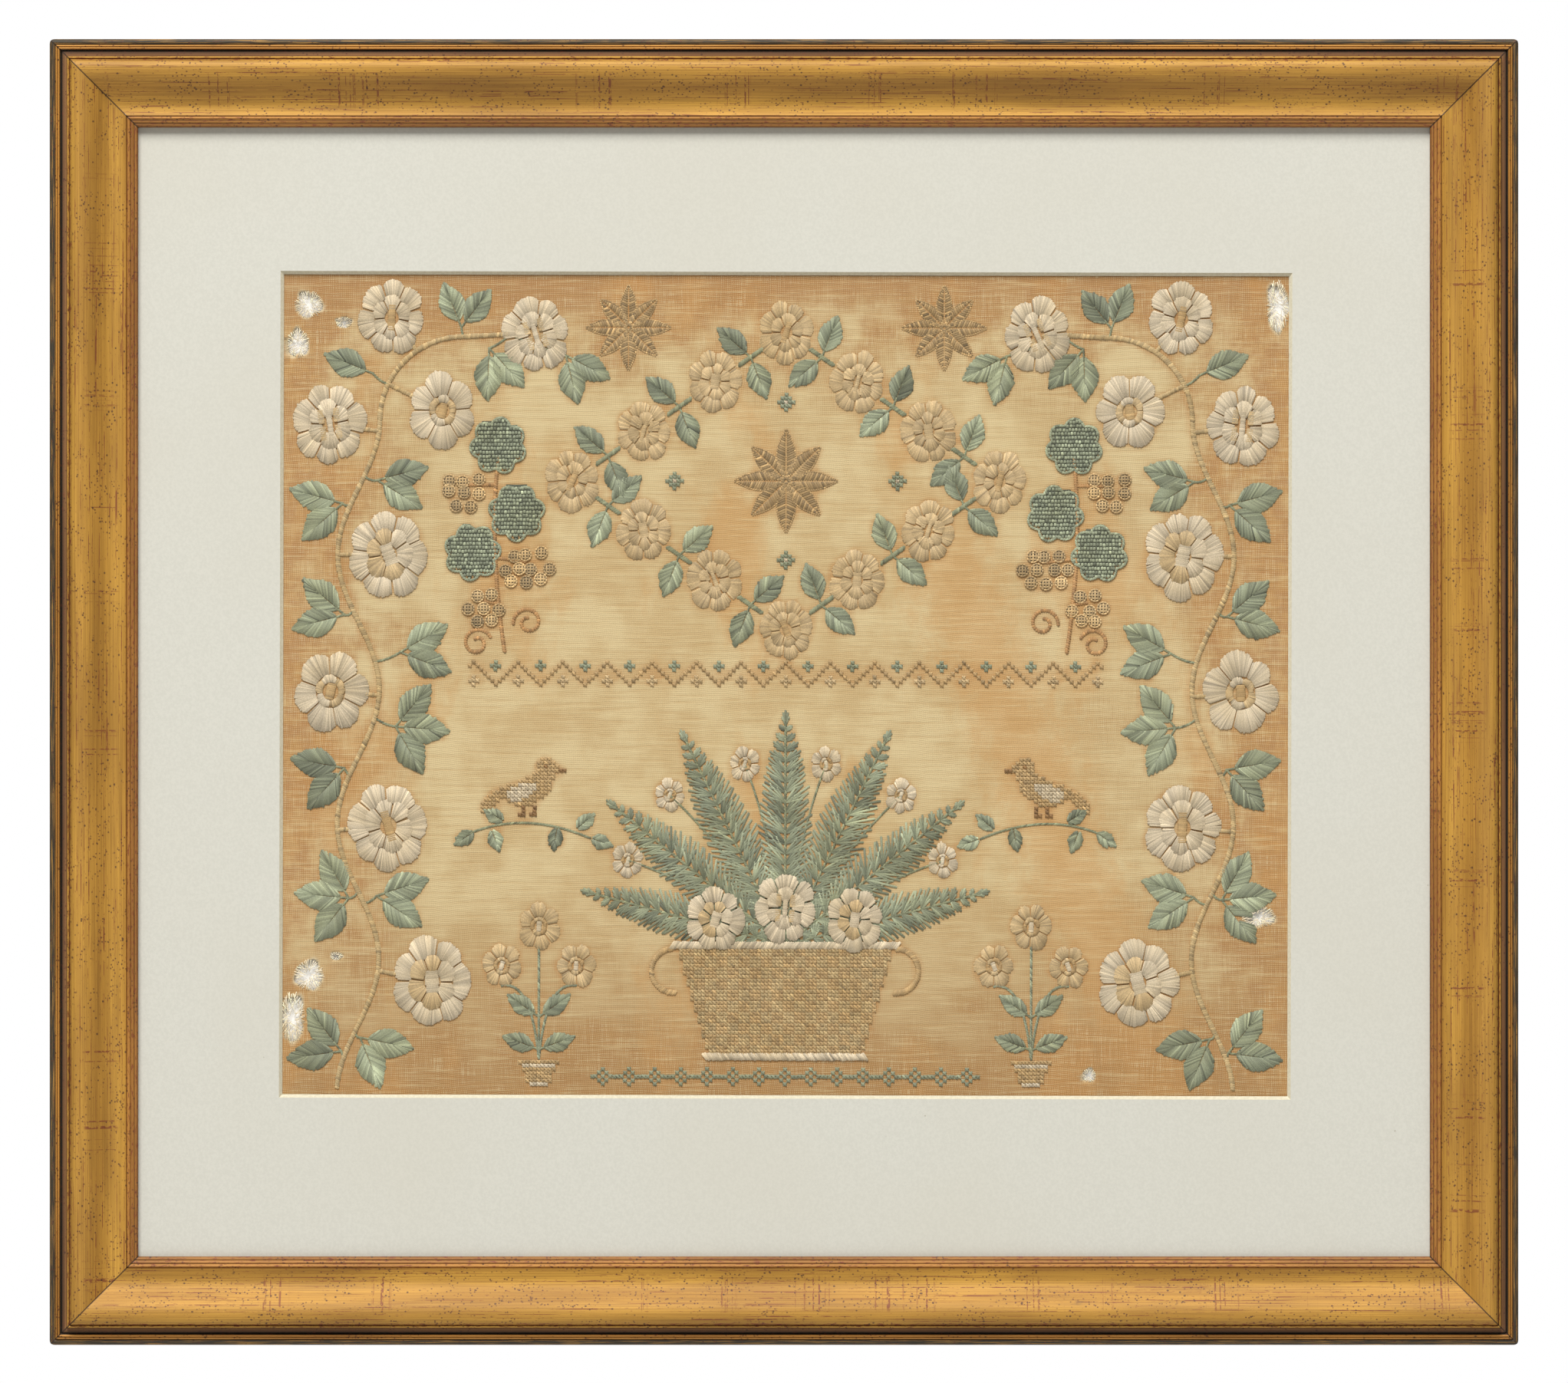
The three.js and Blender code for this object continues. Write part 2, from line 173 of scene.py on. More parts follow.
# A handle's middle on the right, and its radius
HANDLE = (48, -123)
HANDLE_RADIUS = 9.5
BASKET_ROSES = [(0, -96, 15), (-30, -101, 13.5), (30, -101, 13.5)]
FRONDS = [
    (90, 100, 21),
    (64, 102, 21),
    (116, 102, 21),
    (39, 98, 20),
    (141, 98, 20),
    (15, 90, 18),
    (165, 90, 18),
]
# Small blossoms between the fronds: angle and reach from the basket's rim
BLOSSOM_TWIGS = [(77, 78), (103, 78), (51.5, 80), (128.5, 80), (27, 76), (153, 76)]
BLOSSOM_RADIUS = 7.5
SHRUB_X = -106
SHRUB_FOOT = -161
POT_ROWS = 7
POT_FOOT = -172
SHRUB_BLOSSOMS = [(-106, -104, 10), (-122, -121, 9.5), (-90, -121, 9.5)]
SHRUB_LEAVES = [(-106, -157, 17, (20, 160)), (-106, -143, 17, (35, 145))]
# The bird on its twig: its middle, the twig's curve, and x, z and angle of each leaf
BIRD = (-112, -44)
BIRD_TWIG = [(-136, -64), (-112, -54), (-84, -66)]
BIRD_LEAF = (12, 6.4)
BIRD_LEAVES = [
    (-133, -62.5, 215),
    (-127, -61, -70),
    (-120, -59.5, 150),
    (-98, -60, -100),
    (-91, -63, 40),
    (-85, -65.6, -20),
]
# Foot of the zigzag band and crosses in one zigzag, and the middle of the lowest band
ZIGZAG_Z = 0.2
ZIGZAG_PERIOD = 12
FOOT_BAND_Z = -168.6

# Torn places: x, z, width, height, phase of the ragged outline
TEARS = [
    (-190.6, 156.0, 6.3, 4.3, 0.4),
    (-205.7, 163.6, 10.6, 10.2, 1.7),
    (-210.3, 146.8, 8.6, 10.9, 2.9),
    (-205.0, -125.2, 11.2, 11.6, 4.1),
    (-212.1, -143.5, 9.2, 19.1, 5.2),
    (211.6, 163.4, 8.3, 19.8, 0.9),
    (204.0, -99.2, 12.5, 8.3, 2.2),
    (131.0, -167.7, 5.3, 5.3, 3.6),
    (-193.3, -117.0, 5.0, 3.0, 1.1),
    (168.6, -78.2, 3.3, 2.6, 2.6),
]
# How far the fine mesh reaches round a tear, as a share of its size
TEAR_MARGIN = 0.62

# The cloth's mesh near a tear: its step, how far points move to the rim, how soon the frayed
# colour fades; then its steps in the window and under the mat
TORN_STEP = 0.9
RIM_SHIFT = 0.6
TORN_FADE = 0.35
WINDOW_STEP = 2.7
HIDDEN_STEP = 6.0

# How far the stitches' brown halo spreads (partly a stain round the motifs, partly painted shade beside the
# raised stitches), and the step of the gauze's threads
HALO_SPREAD = 1.7
THREAD_STEP = 0.84

# The stain that runs down right of the middle: x at z = 0, slant, stray and half width
RUN_X = 91
RUN_SLANT = 0.4
RUN_STRAY = 44
RUN_HALF_WIDTH = 34

# Where the rail's broad hollow starts and ends, counted from the outer edge
HOLLOW_START = 8.9
HOLLOW_END = 33.2
RED_CLAY = (116, 50, 30)

# Camera, which sees PICTURE_WIDTH at CAMERA_DISTANCE, and lights
SENSOR_WIDTH = 36
CAMERA_DISTANCE = 4000
PICTURE_WIDTH = 674.8
CAMERA_PLACE = (0, -4.0125, -0.26452)
WORLD_LIGHT = 0.16
KEY_POWER = 520
FILL_POWER = 4
FLOOR_Z = -1.5
FLOOR_REACH = 3

# Thread colours
GREEN = (135, 140, 115)
DARK_GREEN = (141, 147, 122)
STEM_GREEN = (132, 135, 106)
CREAM = (196, 180, 153)
PALE = (204, 192, 167)
TAN = (180, 150, 104)
ROPE_TAN = (181, 156, 112)
ROSE_TAN = (187, 162, 121)
TENDRIL = (174, 133, 86)
BERRY = (187, 159, 115)
STRAW = (172, 143, 99)
BROWN = (136, 102, 62)
TORN_THREAD = (236, 222, 194)

# A cross stitch chart, one letter a cross: t tan, c cream, b brown
CROSS_PITCH = 1.6
BIRD_CHART = [
    "................ttt.....",
    "...............ttttt....",
    "...............ttbttt...",
    "...............ttttttbb.",
    "..............tttttt....",
    "............tttttttt....",
    "..........ttttttttt.....",
    ".......tttccccctttt.....",
    ".....tttccccccctttt.....",
    "...ttttccccccctttt......",
    "..tttttcccccctttt.......",
    ".tttt..tccctttt.........",
    "tttt.....ttttt..........",
    "ttt........b..b.........",
    "t..........b..b.........",
    "..........bb.bb.........",
]
CHART_COLOURS = {"t": TAN, "c": CREAM, "b": BROWN}


def linear(colour):
    """An sRGB colour as linear values."""
    share = np.asarray(colour, float) / 255
    return np.where(share <= 0.04045, share / 12.92, ((share + 0.055) / 1.055) ** 2.4)


def smoothstep(value, low, high):
    way = np.clip((value - low) / (high - low), 0, 1)
    return way * way * (3 - 2 * way)


def mesh_piece(name, points, faces):
    """A smooth mesh object from points in metres and faces as point numbers."""
    mesh = bpy.data.meshes.new(name)
    mesh.from_pydata(np.asarray(points).tolist(), [], faces)
    mesh.polygons.foreach_set("use_smooth", [True] * len(faces))
    piece = bpy.data.objects.new(name, mesh)
    bpy.context.scene.collection.objects.link(piece)
    return piece


def number_attribute(piece, name, values):
    layer = piece.data.attributes.new(name, "FLOAT", "POINT")
    layer.data.foreach_set("value", np.asarray(values, np.float32).ravel())


def colour_attribute(piece, name, values):
    layer = piece.data.color_attributes.new(name, "FLOAT_COLOR", "POINT")
    full = np.concatenate([values, np.ones((len(values), 1))], axis=1)
    layer.data.foreach_set("color", full.astype(np.float32).ravel())


def corner_map(piece, places):
    """The map for baking, one place for each face corner."""
    layer = piece.data.uv_layers.new(name="OFBake")
    layer.data.foreach_set("uv", np.asarray(places, np.float32).ravel())


def ripple(x, z):
    """How far the cloth stands forward of flat: slight puckers, gone at the window's edge."""
    from_edge = np.minimum(HALF_WIDTH - np.abs(x), HALF_HEIGHT - np.abs(z))
    inside = smoothstep(from_edge, 0, RIPPLE_FADE)
    near_edge = np.maximum(np.abs(x) / HALF_WIDTH, np.abs(z) / HALF_HEIGHT) ** 4
    wave = np.sin(x / 19 + 1.3 * np.sin(z / 47)) * np.cos(z / 23 + 0.8 * np.sin(x / 61))
    return RIPPLE_DEPTH * inside * (0.35 + 0.65 * near_edge) * (0.5 + 0.5 * wave)


def on_cloth(x, z, height):
    """Places on the cloth in metres, in the frame of the CAD."""
    turned_x = x * math.cos(WINDOW_TURN) + z * math.sin(WINDOW_TURN) + WINDOW_X
    turned_z = z * math.cos(WINDOW_TURN) - x * math.sin(WINDOW_TURN) + WINDOW_Z
    forward = CLOTH_FRONT + height + ripple(x, z)
    return np.stack([turned_x, -forward, turned_z], axis=-1) * MM


def tear_level(x, z):
    """Below 0 inside a torn place, 0 on its ragged outline; the nearest tear counts."""
    level = np.full(np.shape(x), 9.0)
    for middle_x, middle_z, width, height, phase in TEARS:
        across = (x - middle_x) / (width / 2)
        up = (z - middle_z) / (height / 2)
        angle = np.arctan2(up, across)
        ragged = 1 + 0.14 * np.sin(3 * angle + phase) + 0.09 * np.sin(5 * angle + 2 * phase)
        level = np.minimum(level, np.hypot(across, up) / ragged - 1)
    return level


def direction(degrees):
    return np.array([math.cos(math.radians(degrees)), math.sin(math.radians(degrees))])


def left_of(heading):
    """The heading turned left by a right angle."""
    return np.array([-heading[1], heading[0]])


def mirrored(angle, sign):
    """The angle as it is, or its mirror image if sign is -1."""
    return 180 - angle if sign < 0 else angle


def varied(colour, amount=0.05):
    """The colour a little lighter or darker."""
    return np.clip(np.asarray(colour, float) * (1 + rng.normal(0, amount)), 0, 250)


class Needlework:
    """Stitches of one piece, each a thread from one hole in the cloth to another."""

    def __init__(self, name):
        self.name = name
        self.rows = []
        self.rise = 0.0

    def stitch(self, start, end, width, height, colour, base=0.0, grain=0.07):
        tone = 1 + rng.normal(0, grain)
        tint = np.clip(np.asarray(colour, float) * tone, 0, 252)
        self.rows.append((*start, *end, width, height, base + self.rise, *linear(tint)))

    def cross(self, x, z, colour):
        """One cross stitch; the second leg lies on the first."""
        half = CROSS_PITCH * 0.53
        middle = np.array([x, z]) + rng.normal(0, 0.07, 2)
        for rise, height, base in ((half, 0.42, 0.0), (-half, 0.4, 0.2)):
            leg = np.array([half, rise])
            self.stitch(middle - leg, middle + leg, 0.8, height, colour, base)

    def line(self, path, colour, width=0.85, length=2.4, height=0.45):
        """A thin stem in overlapping slanted stitches."""
        for place, heading in walk(path, length * 0.55):
            side = left_of(heading) * width * 0.22
            reach = heading * length / 2
            self.stitch(place - reach - side, place + reach + side, width, height, colour, grain=0.1)

    def rope(self, path, width, colour, pitch=0.95, height=0.55, slant=0.35):
        """A thick stem in short stitches laid across it."""
        for place, heading in walk(path, pitch):
            side = left_of(heading) * width / 2 * rng.uniform(0.84, 1.1)
            lean = heading * width * slant / 2
            self.stitch(place - side - lean, place + side + lean, pitch * 1.25, height, colour, grain=0.08)

    def ring(self, middle, radius, count, colour):
        """Short stitches round a circle."""
        for i in range(count):
            first = direction(360 * (i - 0.12) / count) * radius
            second = direction(360 * (i + 1.12) / count) * radius
            self.stitch(middle + first, middle + second, 0.7, 0.5, colour)

    def bars(self, middle, radius, colour):
        """Low upright stitches that fill a circle."""
        pitch = 0.9
        count = int(2 * radius / pitch)
        for i in range(count):
            offset = (i + 0.5) / count * 2 - 1
            half = (0, radius * math.sqrt(1 - offset * offset) * rng.uniform(0.94, 1.06))
            place = middle - (radius * offset, 0)
            self.stitch(place - half, place + half, pitch * 1.25, 0.12, colour)

    def block(self, middle, along, length, width, colour, height):
        """A small oblong of satin stitches laid across its length."""
        count = max(2, round(length / BLOCK_PITCH))
        for i in range(count):
            place = middle + along * length * ((i + 0.5) / count - 0.5)
            half = left_of(along) * width / 2 * rng.uniform(0.9, 1.08)
            self.stitch(place - half, place + half, BLOCK_PITCH * 1.3, height, colour, grain=0.05)

    def leaf(self, x, z, angle, length, width):
        """A pointed leaf in satin stitch, slanting from its middle vein to both margins."""
        width = width or length * LEAF_SLIMNESS
        along = direction(angle)
        side = left_of(along)
        root = np.array([x, z]) + along * length * LEAF_STALK
        reach = length * (1 - LEAF_STALK)
        lean = width * 0.44
        leaf_tone = varied(GREEN, 0.055)
        for flank in (1, -1):
            tone = varied(leaf_tone, 0.04)
            steps = max(4, round((reach + 0.6 * lean) / LEAF_PITCH))
            for i in range(steps):
                way = (i + 0.6) / steps
                margin = min(reach * (way + 0.02), reach * 0.995)
                vein = max(0.0, reach * way - lean * (0.45 + 0.55 * min(1, 2.4 * way)))
                half = width / 2 * math.sin(math.pi * (margin / reach) ** 0.85)
                ragged = rng.normal(0, 0.2)
                start = root + along * vein + side * flank * 0.16
                end = root + along * (margin + 0.3 * ragged) + side * flank * (half + ragged)
                if np.hypot(*(end - start)) > 0.8:
                    self.stitch(start, end, LEAF_PITCH * 1.2, 0.5, tone, grain=0.11)

    def sprig(self, x, z, length, angles, sign, width=None):
        """Leaves on short stalks from one place; sign -1 turns the left side's rows over."""
        for angle in angles:
            heading = mirrored(angle, sign)
            root = np.array([x * sign, z])
            self.leaf(*root, heading, length, width)
            self.line([root, root + direction(heading) * length * LEAF_STALK * 1.3], STEM_GREEN, width=0.8)

    def petals(self, x, z, inner, outer, turn, colours, scallop, gap):
        """A ring of unequal scalloped petals, one for each colour, in stitches that run outwards."""
        middle = np.array([x, z])
        spreads = rng.uniform(0.78, 1.22, len(colours))
        spreads *= 360 / spreads.sum()
        edge = turn
        for spread, colour in zip(spreads, colours):
            half = spread / 2
            centre = edge + half
            edge += spread
            size = rng.uniform(0.93, 1.03)
            tone = varied(colour, 0.025)
            lean = rng.uniform(-9, 9)
            steps = max(3, round(math.radians(spread) * outer / PETAL_PITCH))
            for i in range(steps):
                way = (i + 0.5) / steps * 2 - 1
                cut = math.degrees(gap / 2 / outer)
                angle = centre + (half - cut) * way + rng.normal(0, 0.5)
                reach = outer * size * (1 - scallop * abs(way) ** 2.4) + rng.normal(0, 0.16)
                foot = centre + (half - math.degrees(gap / 2 / inner)) * way + lean * (1 - abs(way))
                start = middle + direction(foot) * inner * OVAL
                end = middle + direction(angle) * reach * OVAL
                self.stitch(start, end, PETAL_PITCH * 1.2, 0.45, tone, grain=0.065)

    def rose(self, x, z, radius, kind, outer, inner, heart):
        """A rose of two rings of petals; the kind says how its middle is filled."""
        middle = np.array([x, z])
        tilt = rng.uniform(-24, 24)
        along = direction(90 + tilt)
        aside = direction(tilt)
        turn = rng.uniform(0, 50)
        rise = self.rise
        if kind == "single":
            self.petals(x, z, radius * 0.38, radius, turn, [outer] * 6, 0.17, 1.1)
            self.rise = rise + 0.12
            ring = [inner, outer, inner, outer, inner]
            self.petals(x, z, radius * 0.2, radius * 0.42, tilt, ring, 0.14, 0.6)
            self.block(middle, along, radius * 0.4, radius * 0.24, heart, 0.4)
        else:
            ring = [inner] * 4 + [outer] * 2 if kind == "hearted" else [outer] * 6
            self.petals(x, z, radius * 0.5, radius, turn, [outer] * 7, 0.12, 1.15)
            self.rise = rise + 0.14
            self.petals(x, z, radius * 0.2, radius * 0.62, 60 + tilt, ring, 0.16, 1.2)
            self.rise = rise + 0.26
            if kind == "hearted":
                self.block(middle, along, radius * 0.5, radius * 0.32, outer, 0.42)
            elif kind == "slotted":
                self.block(middle, along, radius * 0.72, radius * 0.22, heart, 0.4)
            else:
                self.block(middle, along, radius * 0.78, radius * 0.16, outer, 0.42)
                for flank, up in ((1, 1), (1, -1), (-1, 1), (-1, -1)):
                    place = middle + aside * flank * radius * 0.2 + along * up * radius * 0.22
                    self.block(place, along, radius * 0.34, radius * 0.18, inner, 0.36)
        self.rise = rise

    def star(self, x, z, radius, colour):
        """Eight rays, each two rows of small slanting stitches in two tones."""
        middle = np.array([x, z])
        for ray in range(8):
            along = direction(45 * ray)
            side = left_of(along)
            length = radius * (1 if ray % 2 == 0 else 0.93)
            steps = round(length / 1.05)
            for i in range(steps):
                way = (i + 0.6) / steps
                half = radius * 0.17 * math.sin(math.pi * way**0.75) + 0.25
                tone = varied(colour, 0.06) * (1 if i % 2 else 0.84)
                for flank in (1, -1):
                    start = middle + along * length * way + side * flank * 0.1
                    end = middle + along * (length * way + half * 0.45) + side * flank * half
                    self.stitch(start, end, 0.85, 0.3, tone, grain=0.08)
                    rim = end - along * 0.5
                    self.stitch(rim, rim + along * 1.3, 0.6, 0.34, varied(colour, 0.06), grain=0.08)

    def berries(self, x, z, rows, colour):
        """A bunch of round berries, each a ring round a small lattice on darker stitches."""
        for row, count in enumerate(rows):
            for i in range(count):
                step = np.array([i - (count - 1) / 2, (1 - row) * 0.88]) * BERRY_STEP
                place = np.array([x, z]) + step + rng.normal(0, 0.5, 2)
                tone = varied(colour, 0.06)
                self.bars(place, BERRY_RADIUS, tone * 0.5)
                for offset in (-LATTICE_STEP, 0, LATTICE_STEP):
                    half = math.sqrt(BERRY_RADIUS**2 - offset**2)
                    self.stitch(place + (offset, -half), place + (offset, half), 0.65, 0.36, tone)
                    self.stitch(place + (-half, offset), place + (half, offset), 0.65, 0.36, tone)
                self.ring(place, BERRY_RING, 13, tone * 1.04)

    def lobed_leaf(self, x, z, radius, colour):
        """A leaf with seven lobes: rows of small upright stitches over darker lines across."""
        turn = rng.uniform(0, 50)

        def reach(angles):
            lobes = np.abs(np.cos(np.radians(LOBES / 2 * (angles - turn))))
            return radius * (LOBE_FOOT + LOBE_HEIGHT * lobes)

        across = np.arange(-radius * 1.1, radius * 1.1, 0.3)
        for level in np.arange(-radius, radius, LOBED_ROW):
            angles = np.degrees(np.arctan2(level, across))
            inside = across[np.hypot(across, level) < reach(angles) - 0.4]
            if len(inside) < 4:
                continue
            left, right = inside[0], inside[-1]
            # Partly painted shade: the darker line laid under each row fills the gaps between rows with
            # dark green, standing in for the shade there as well as for darker thread.
            under = z + level + LOBED_ROW / 2
            self.stitch((x + left, under), (x + right, under), LOBED_ROW * 0.9, 0.12, colour * 0.6)
            for place in np.arange(left + 0.6, right, LOBED_PITCH):
                middle = np.array([x + place, z + level]) + rng.normal(0, 0.1, 2)
                half = np.array([rng.normal(0, 0.1), LOBED_ROW * 0.5])
                self.stitch(middle - half, middle + half, 1.1, 0.5, varied(colour, 0.09), base=0.05)
        rim = [np.array([x, z]) + direction(angle) * reach(angle) for angle in range(0, 364, 4)]
        self.line(rim, colour * 1.03, width=0.95, length=1.9)

    def chart(self, rows, x, z, flip):
        """A charted motif, centred, one cross stitch for each letter."""
        wide = len(rows[0])
        for down, row in enumerate(rows):
            for right, letter in enumerate(row):
                if letter in CHART_COLOURS:
                    column = wide - 1 - right if flip else right
                    place_x = x + (column - (wide - 1) / 2) * CROSS_PITCH
                    place_z = z + ((len(rows) - 1) / 2 - down) * CROSS_PITCH
                    self.cross(place_x, place_z, CHART_COLOURS[letter])

    def frond(self, x, z, angle, length, width, colour):
        """A long feathered leaf: a stem with pairs of small leaflets."""
        along = direction(angle)
        tip = np.array([x, z]) + along * length
        pairs = round(length / 4.6)
        for i in range(pairs):
            way = (i + 0.9) / (pairs + 0.6)
            root = np.array([x, z]) + along * length * way
            half = width / 2 * math.sin(math.pi * way**0.85)
            reach = half / math.sin(math.radians(52)) + 1.2
            for flank in (52, -52):
                tone = varied(colour, 0.06)
                self.leaflet(root, angle + flank + rng.normal(0, 3), reach, tone)
        self.leaflet(tip - along * 5, angle, 6.5, colour)
        self.line([np.array([x, z]) + along * 2, tip - along * 3], STEM_GREEN, width=1.0, height=0.6)

    def leaflet(self, root, angle, reach, colour):
        """Five straight stitches fanned from one root."""
        for turn, share in ((-22, 0.62), (22, 0.62), (-11, 0.86), (11, 0.86), (0, 1.0)):
            end = root + direction(angle + turn) * reach * share
            self.stitch(root, end, 0.95, 0.55, colour, grain=0.1)


def walk(path, step):
    """Places at even steps along a path of points, each with its heading."""
    path = np.asarray(path, float)
    spans = np.diff(path, axis=0)
    lengths = np.hypot(spans[:, 0], spans[:, 1])
    total = np.concatenate([[0], np.cumsum(lengths)])
    count = max(2, round(total[-1] / step))
    for way in np.linspace(0, total[-1], count + 1)[:-1] + total[-1] / count / 2:
        part = min(np.searchsorted(total, way, side="right") - 1, len(spans) - 1)
        heading = spans[part] / lengths[part]
        yield path[part] + heading * (way - total[part]), heading


def curve(start, bend, end):
    """A quadratic curve as a path."""
    start, bend, end = (np.asarray(p, float) for p in (start, bend, end))
    return [start * (1 - t) ** 2 + bend * 2 * t * (1 - t) + end * t * t for t in np.linspace(0, 1, 14)]


def spiral(x, z, start_angle, turns, start_radius, end_radius):
    """A curl as a path, from outside inwards."""
    middle = np.array([x, z])
    path = []
    for t in np.linspace(0, 1, 26):
        radius = start_radius + (end_radius - start_radius) * t
        path.append(middle + direction(start_angle + 360 * turns * t) * radius)
    return path


def turned_over(path, sign):
    """The path as it is, or its mirror image if sign is -1."""
    return [np.array([p[0] * sign, p[1]]) for p in path]


def nearest(path, place):
    return min(path, key=lambda p: np.hypot(*(p - place)))


def side_stem():
    """The left border's main stem: waving up the side, then round the corner."""
    heights = np.linspace(STEM_FOOT + 2, STEM_TOP, 120)
    waves = 2 * math.pi * (heights - STEM_FOOT) / STEM_WAVE
    rising = [np.array([STEM_X - STEM_SWAY * math.cos(wave), z]) for wave, z in zip(waves, heights)]
    middle = (CORNER_X, STEM_TOP)
    corner = [middle + direction(180 - 90 * t) * CORNER_BEND for t in np.linspace(0.03, 1, 24)]
    return rising + corner + [np.array(STEM_END)]


def sew():
    """All the embroidery, as a list of pieces."""
    leaves = Needlework("leaf_stitches")
    roses = Needlework("rose_stitches")
    garland = Needlework("garland_stitches")
    fronds = Needlework("frond_stitches")
    crosses = Needlework("cross_stitches")
    stems = Needlework("stem_stitches")
    roses.rise = 0.15
    for sign in (1, -1):
        stem = turned_over(side_stem(), sign)
        stems.rope(stem, 2.4, ROPE_TAN)
        for x, z, length, angles in SIDE_SPRIGS:
            place = np.array([x * sign, z])
            start = nearest(stem, place)
            stems.line(curve(start, (start + place) / 2 + np.array([0, -1.5]), place), STEM_GREEN)
            leaves.sprig(x, z, length, angles, sign)
        for x, z, radius, kind in SIDE_ROSES:
            place = np.array([x * sign, z])
            start = nearest(stem, place)
            reach = (start - place) / np.hypot(*(start - place)) * radius * 0.85
            stems.rope([start, place + reach], 2.0, ROPE_TAN)
            roses.rose(*place, radius, kind, CREAM, ROSE_TAN, TAN)
        sew_spray(stems, crosses, sign)
        sew_shrub(stems, leaves, garland, crosses, sign)
        sew_bird(stems, leaves, crosses, sign)
    sew_garland(stems, leaves, garland)
    sew_basket(stems, fronds, garland, crosses)
    sew_bands(crosses)
    return [leaves, roses, garland, fronds, crosses, stems]


def sew_spray(stems, crosses, sign):
    """Berries and lobed leaves on one upright stem, with curling tendrils below."""

    def vine(path, width):
        stems.rope(path, width, TENDRIL, pitch=1.05, slant=1.1)

    trunk = turned_over(curve((-121, 14), (-128, 60), (-124, 98)), sign)
    vine(trunk, 1.4)
    crosses.rise = 0.3
    for x, z, radius in SPRAY_LEAVES:
        crosses.lobed_leaf(x * sign, z, radius, np.array(DARK_GREEN))
    for x, z, rows in SPRAY_BERRIES:
        place = np.array([x * sign, z + 3])
        vine([nearest(trunk, place), place], 1.1)
        crosses.berries(x * sign, z, rows, BERRY)
    crosses.rise = 0.0
    for x, z, angle, turns in ((-133, 18, 20, 1.3), (-111, 27, 190, -1.3)):
        vine(turned_over(spiral(x, z, angle, turns, 6.5, 1.8), sign), 1.2)


def sew_shrub(stems, leaves, flowers, crosses, sign):
    """A small flowering shrub in a pot."""
    for row in range(POT_ROWS):
        half = 2.6 + row * 0.42
        for column in range(-5, 6):
            if abs(column) <= half:
                colour = CREAM if row in (0, POT_ROWS - 2) else TAN
                place_x = SHRUB_X * sign + column * CROSS_PITCH
                crosses.cross(place_x, POT_FOOT + row * CROSS_PITCH, colour)
    for x, z, radius in SHRUB_BLOSSOMS:
        bend = (SHRUB_X + (x - SHRUB_X) * 0.2, z - 6)
        tip = (x, z - radius * 0.9)
        stems.line(turned_over(curve((SHRUB_X, SHRUB_FOOT), bend, tip), sign), GREEN, width=0.95)
        flowers.rose(x * sign, z, radius, "single", ROSE_TAN, STRAW, CREAM)
    for x, z, length, angles in SHRUB_LEAVES:
        leaves.sprig(x, z, length, angles, sign, 8)


def sew_bird(stems, leaves, crosses, sign):
    """A charted bird on a twig, looking to the middle."""
    crosses.chart(BIRD_CHART, BIRD[0] * sign, BIRD[1], sign < 0)
    stems.line(turned_over(curve(*BIRD_TWIG), sign), STEM_GREEN)
    for x, z, angle in BIRD_LEAVES:
        leaves.leaf(x * sign, z, mirrored(angle, sign), *BIRD_LEAF)


def sew_garland(stems, leaves, garland):
    """Small roses at even steps round a lozenge, a leaf on either side of each gap."""
    corners = [
        np.array([GARLAND_HALF_WIDTH, GARLAND_Z]),
        np.array([0, GARLAND_Z + GARLAND_HALF_HEIGHT]),
        np.array([-GARLAND_HALF_WIDTH, GARLAND_Z]),
        np.array([0, GARLAND_Z - GARLAND_HALF_HEIGHT]),
    ]
    for side in range(4):
        start = corners[side]
        span = corners[(side + 1) % 4] - start
        heading = math.degrees(math.atan2(span[1], span[0]))
        inset = span / np.hypot(*span) * GARLAND_ROSE * 0.96
        for step in range(GARLAND_STEPS):
            rose = start + span * step / GARLAND_STEPS
            gap = start + span * (step + 0.5) / GARLAND_STEPS
            following = start + span * (step + 1) / GARLAND_STEPS
            stems.rope([rose + inset, following - inset], 1.8, STEM_GREEN, slant=0.9)
            kind = ("slotted", "hearted", "quartered")[step]
            garland.rose(*rose, GARLAND_ROSE, kind, ROSE_TAN, varied(ROSE_TAN, 0.04), TAN)
            leaves.sprig(*gap, GARLAND_LEAF, (heading + GARLAND_LEAN, heading - GARLAND_LEAN), 1)
    for x, z, radius in STARS:
        garland.star(x, z, radius, STRAW)
    for x, z in DIAMONDS:
        for column in range(-2, 3):
            for row in range(-2, 3):
                if abs(column) + abs(row) <= 2:
                    colour = CREAM if column == row == 0 else GREEN
                    garland.cross(x + column * CROSS_PITCH, z + row * CROSS_PITCH, colour)


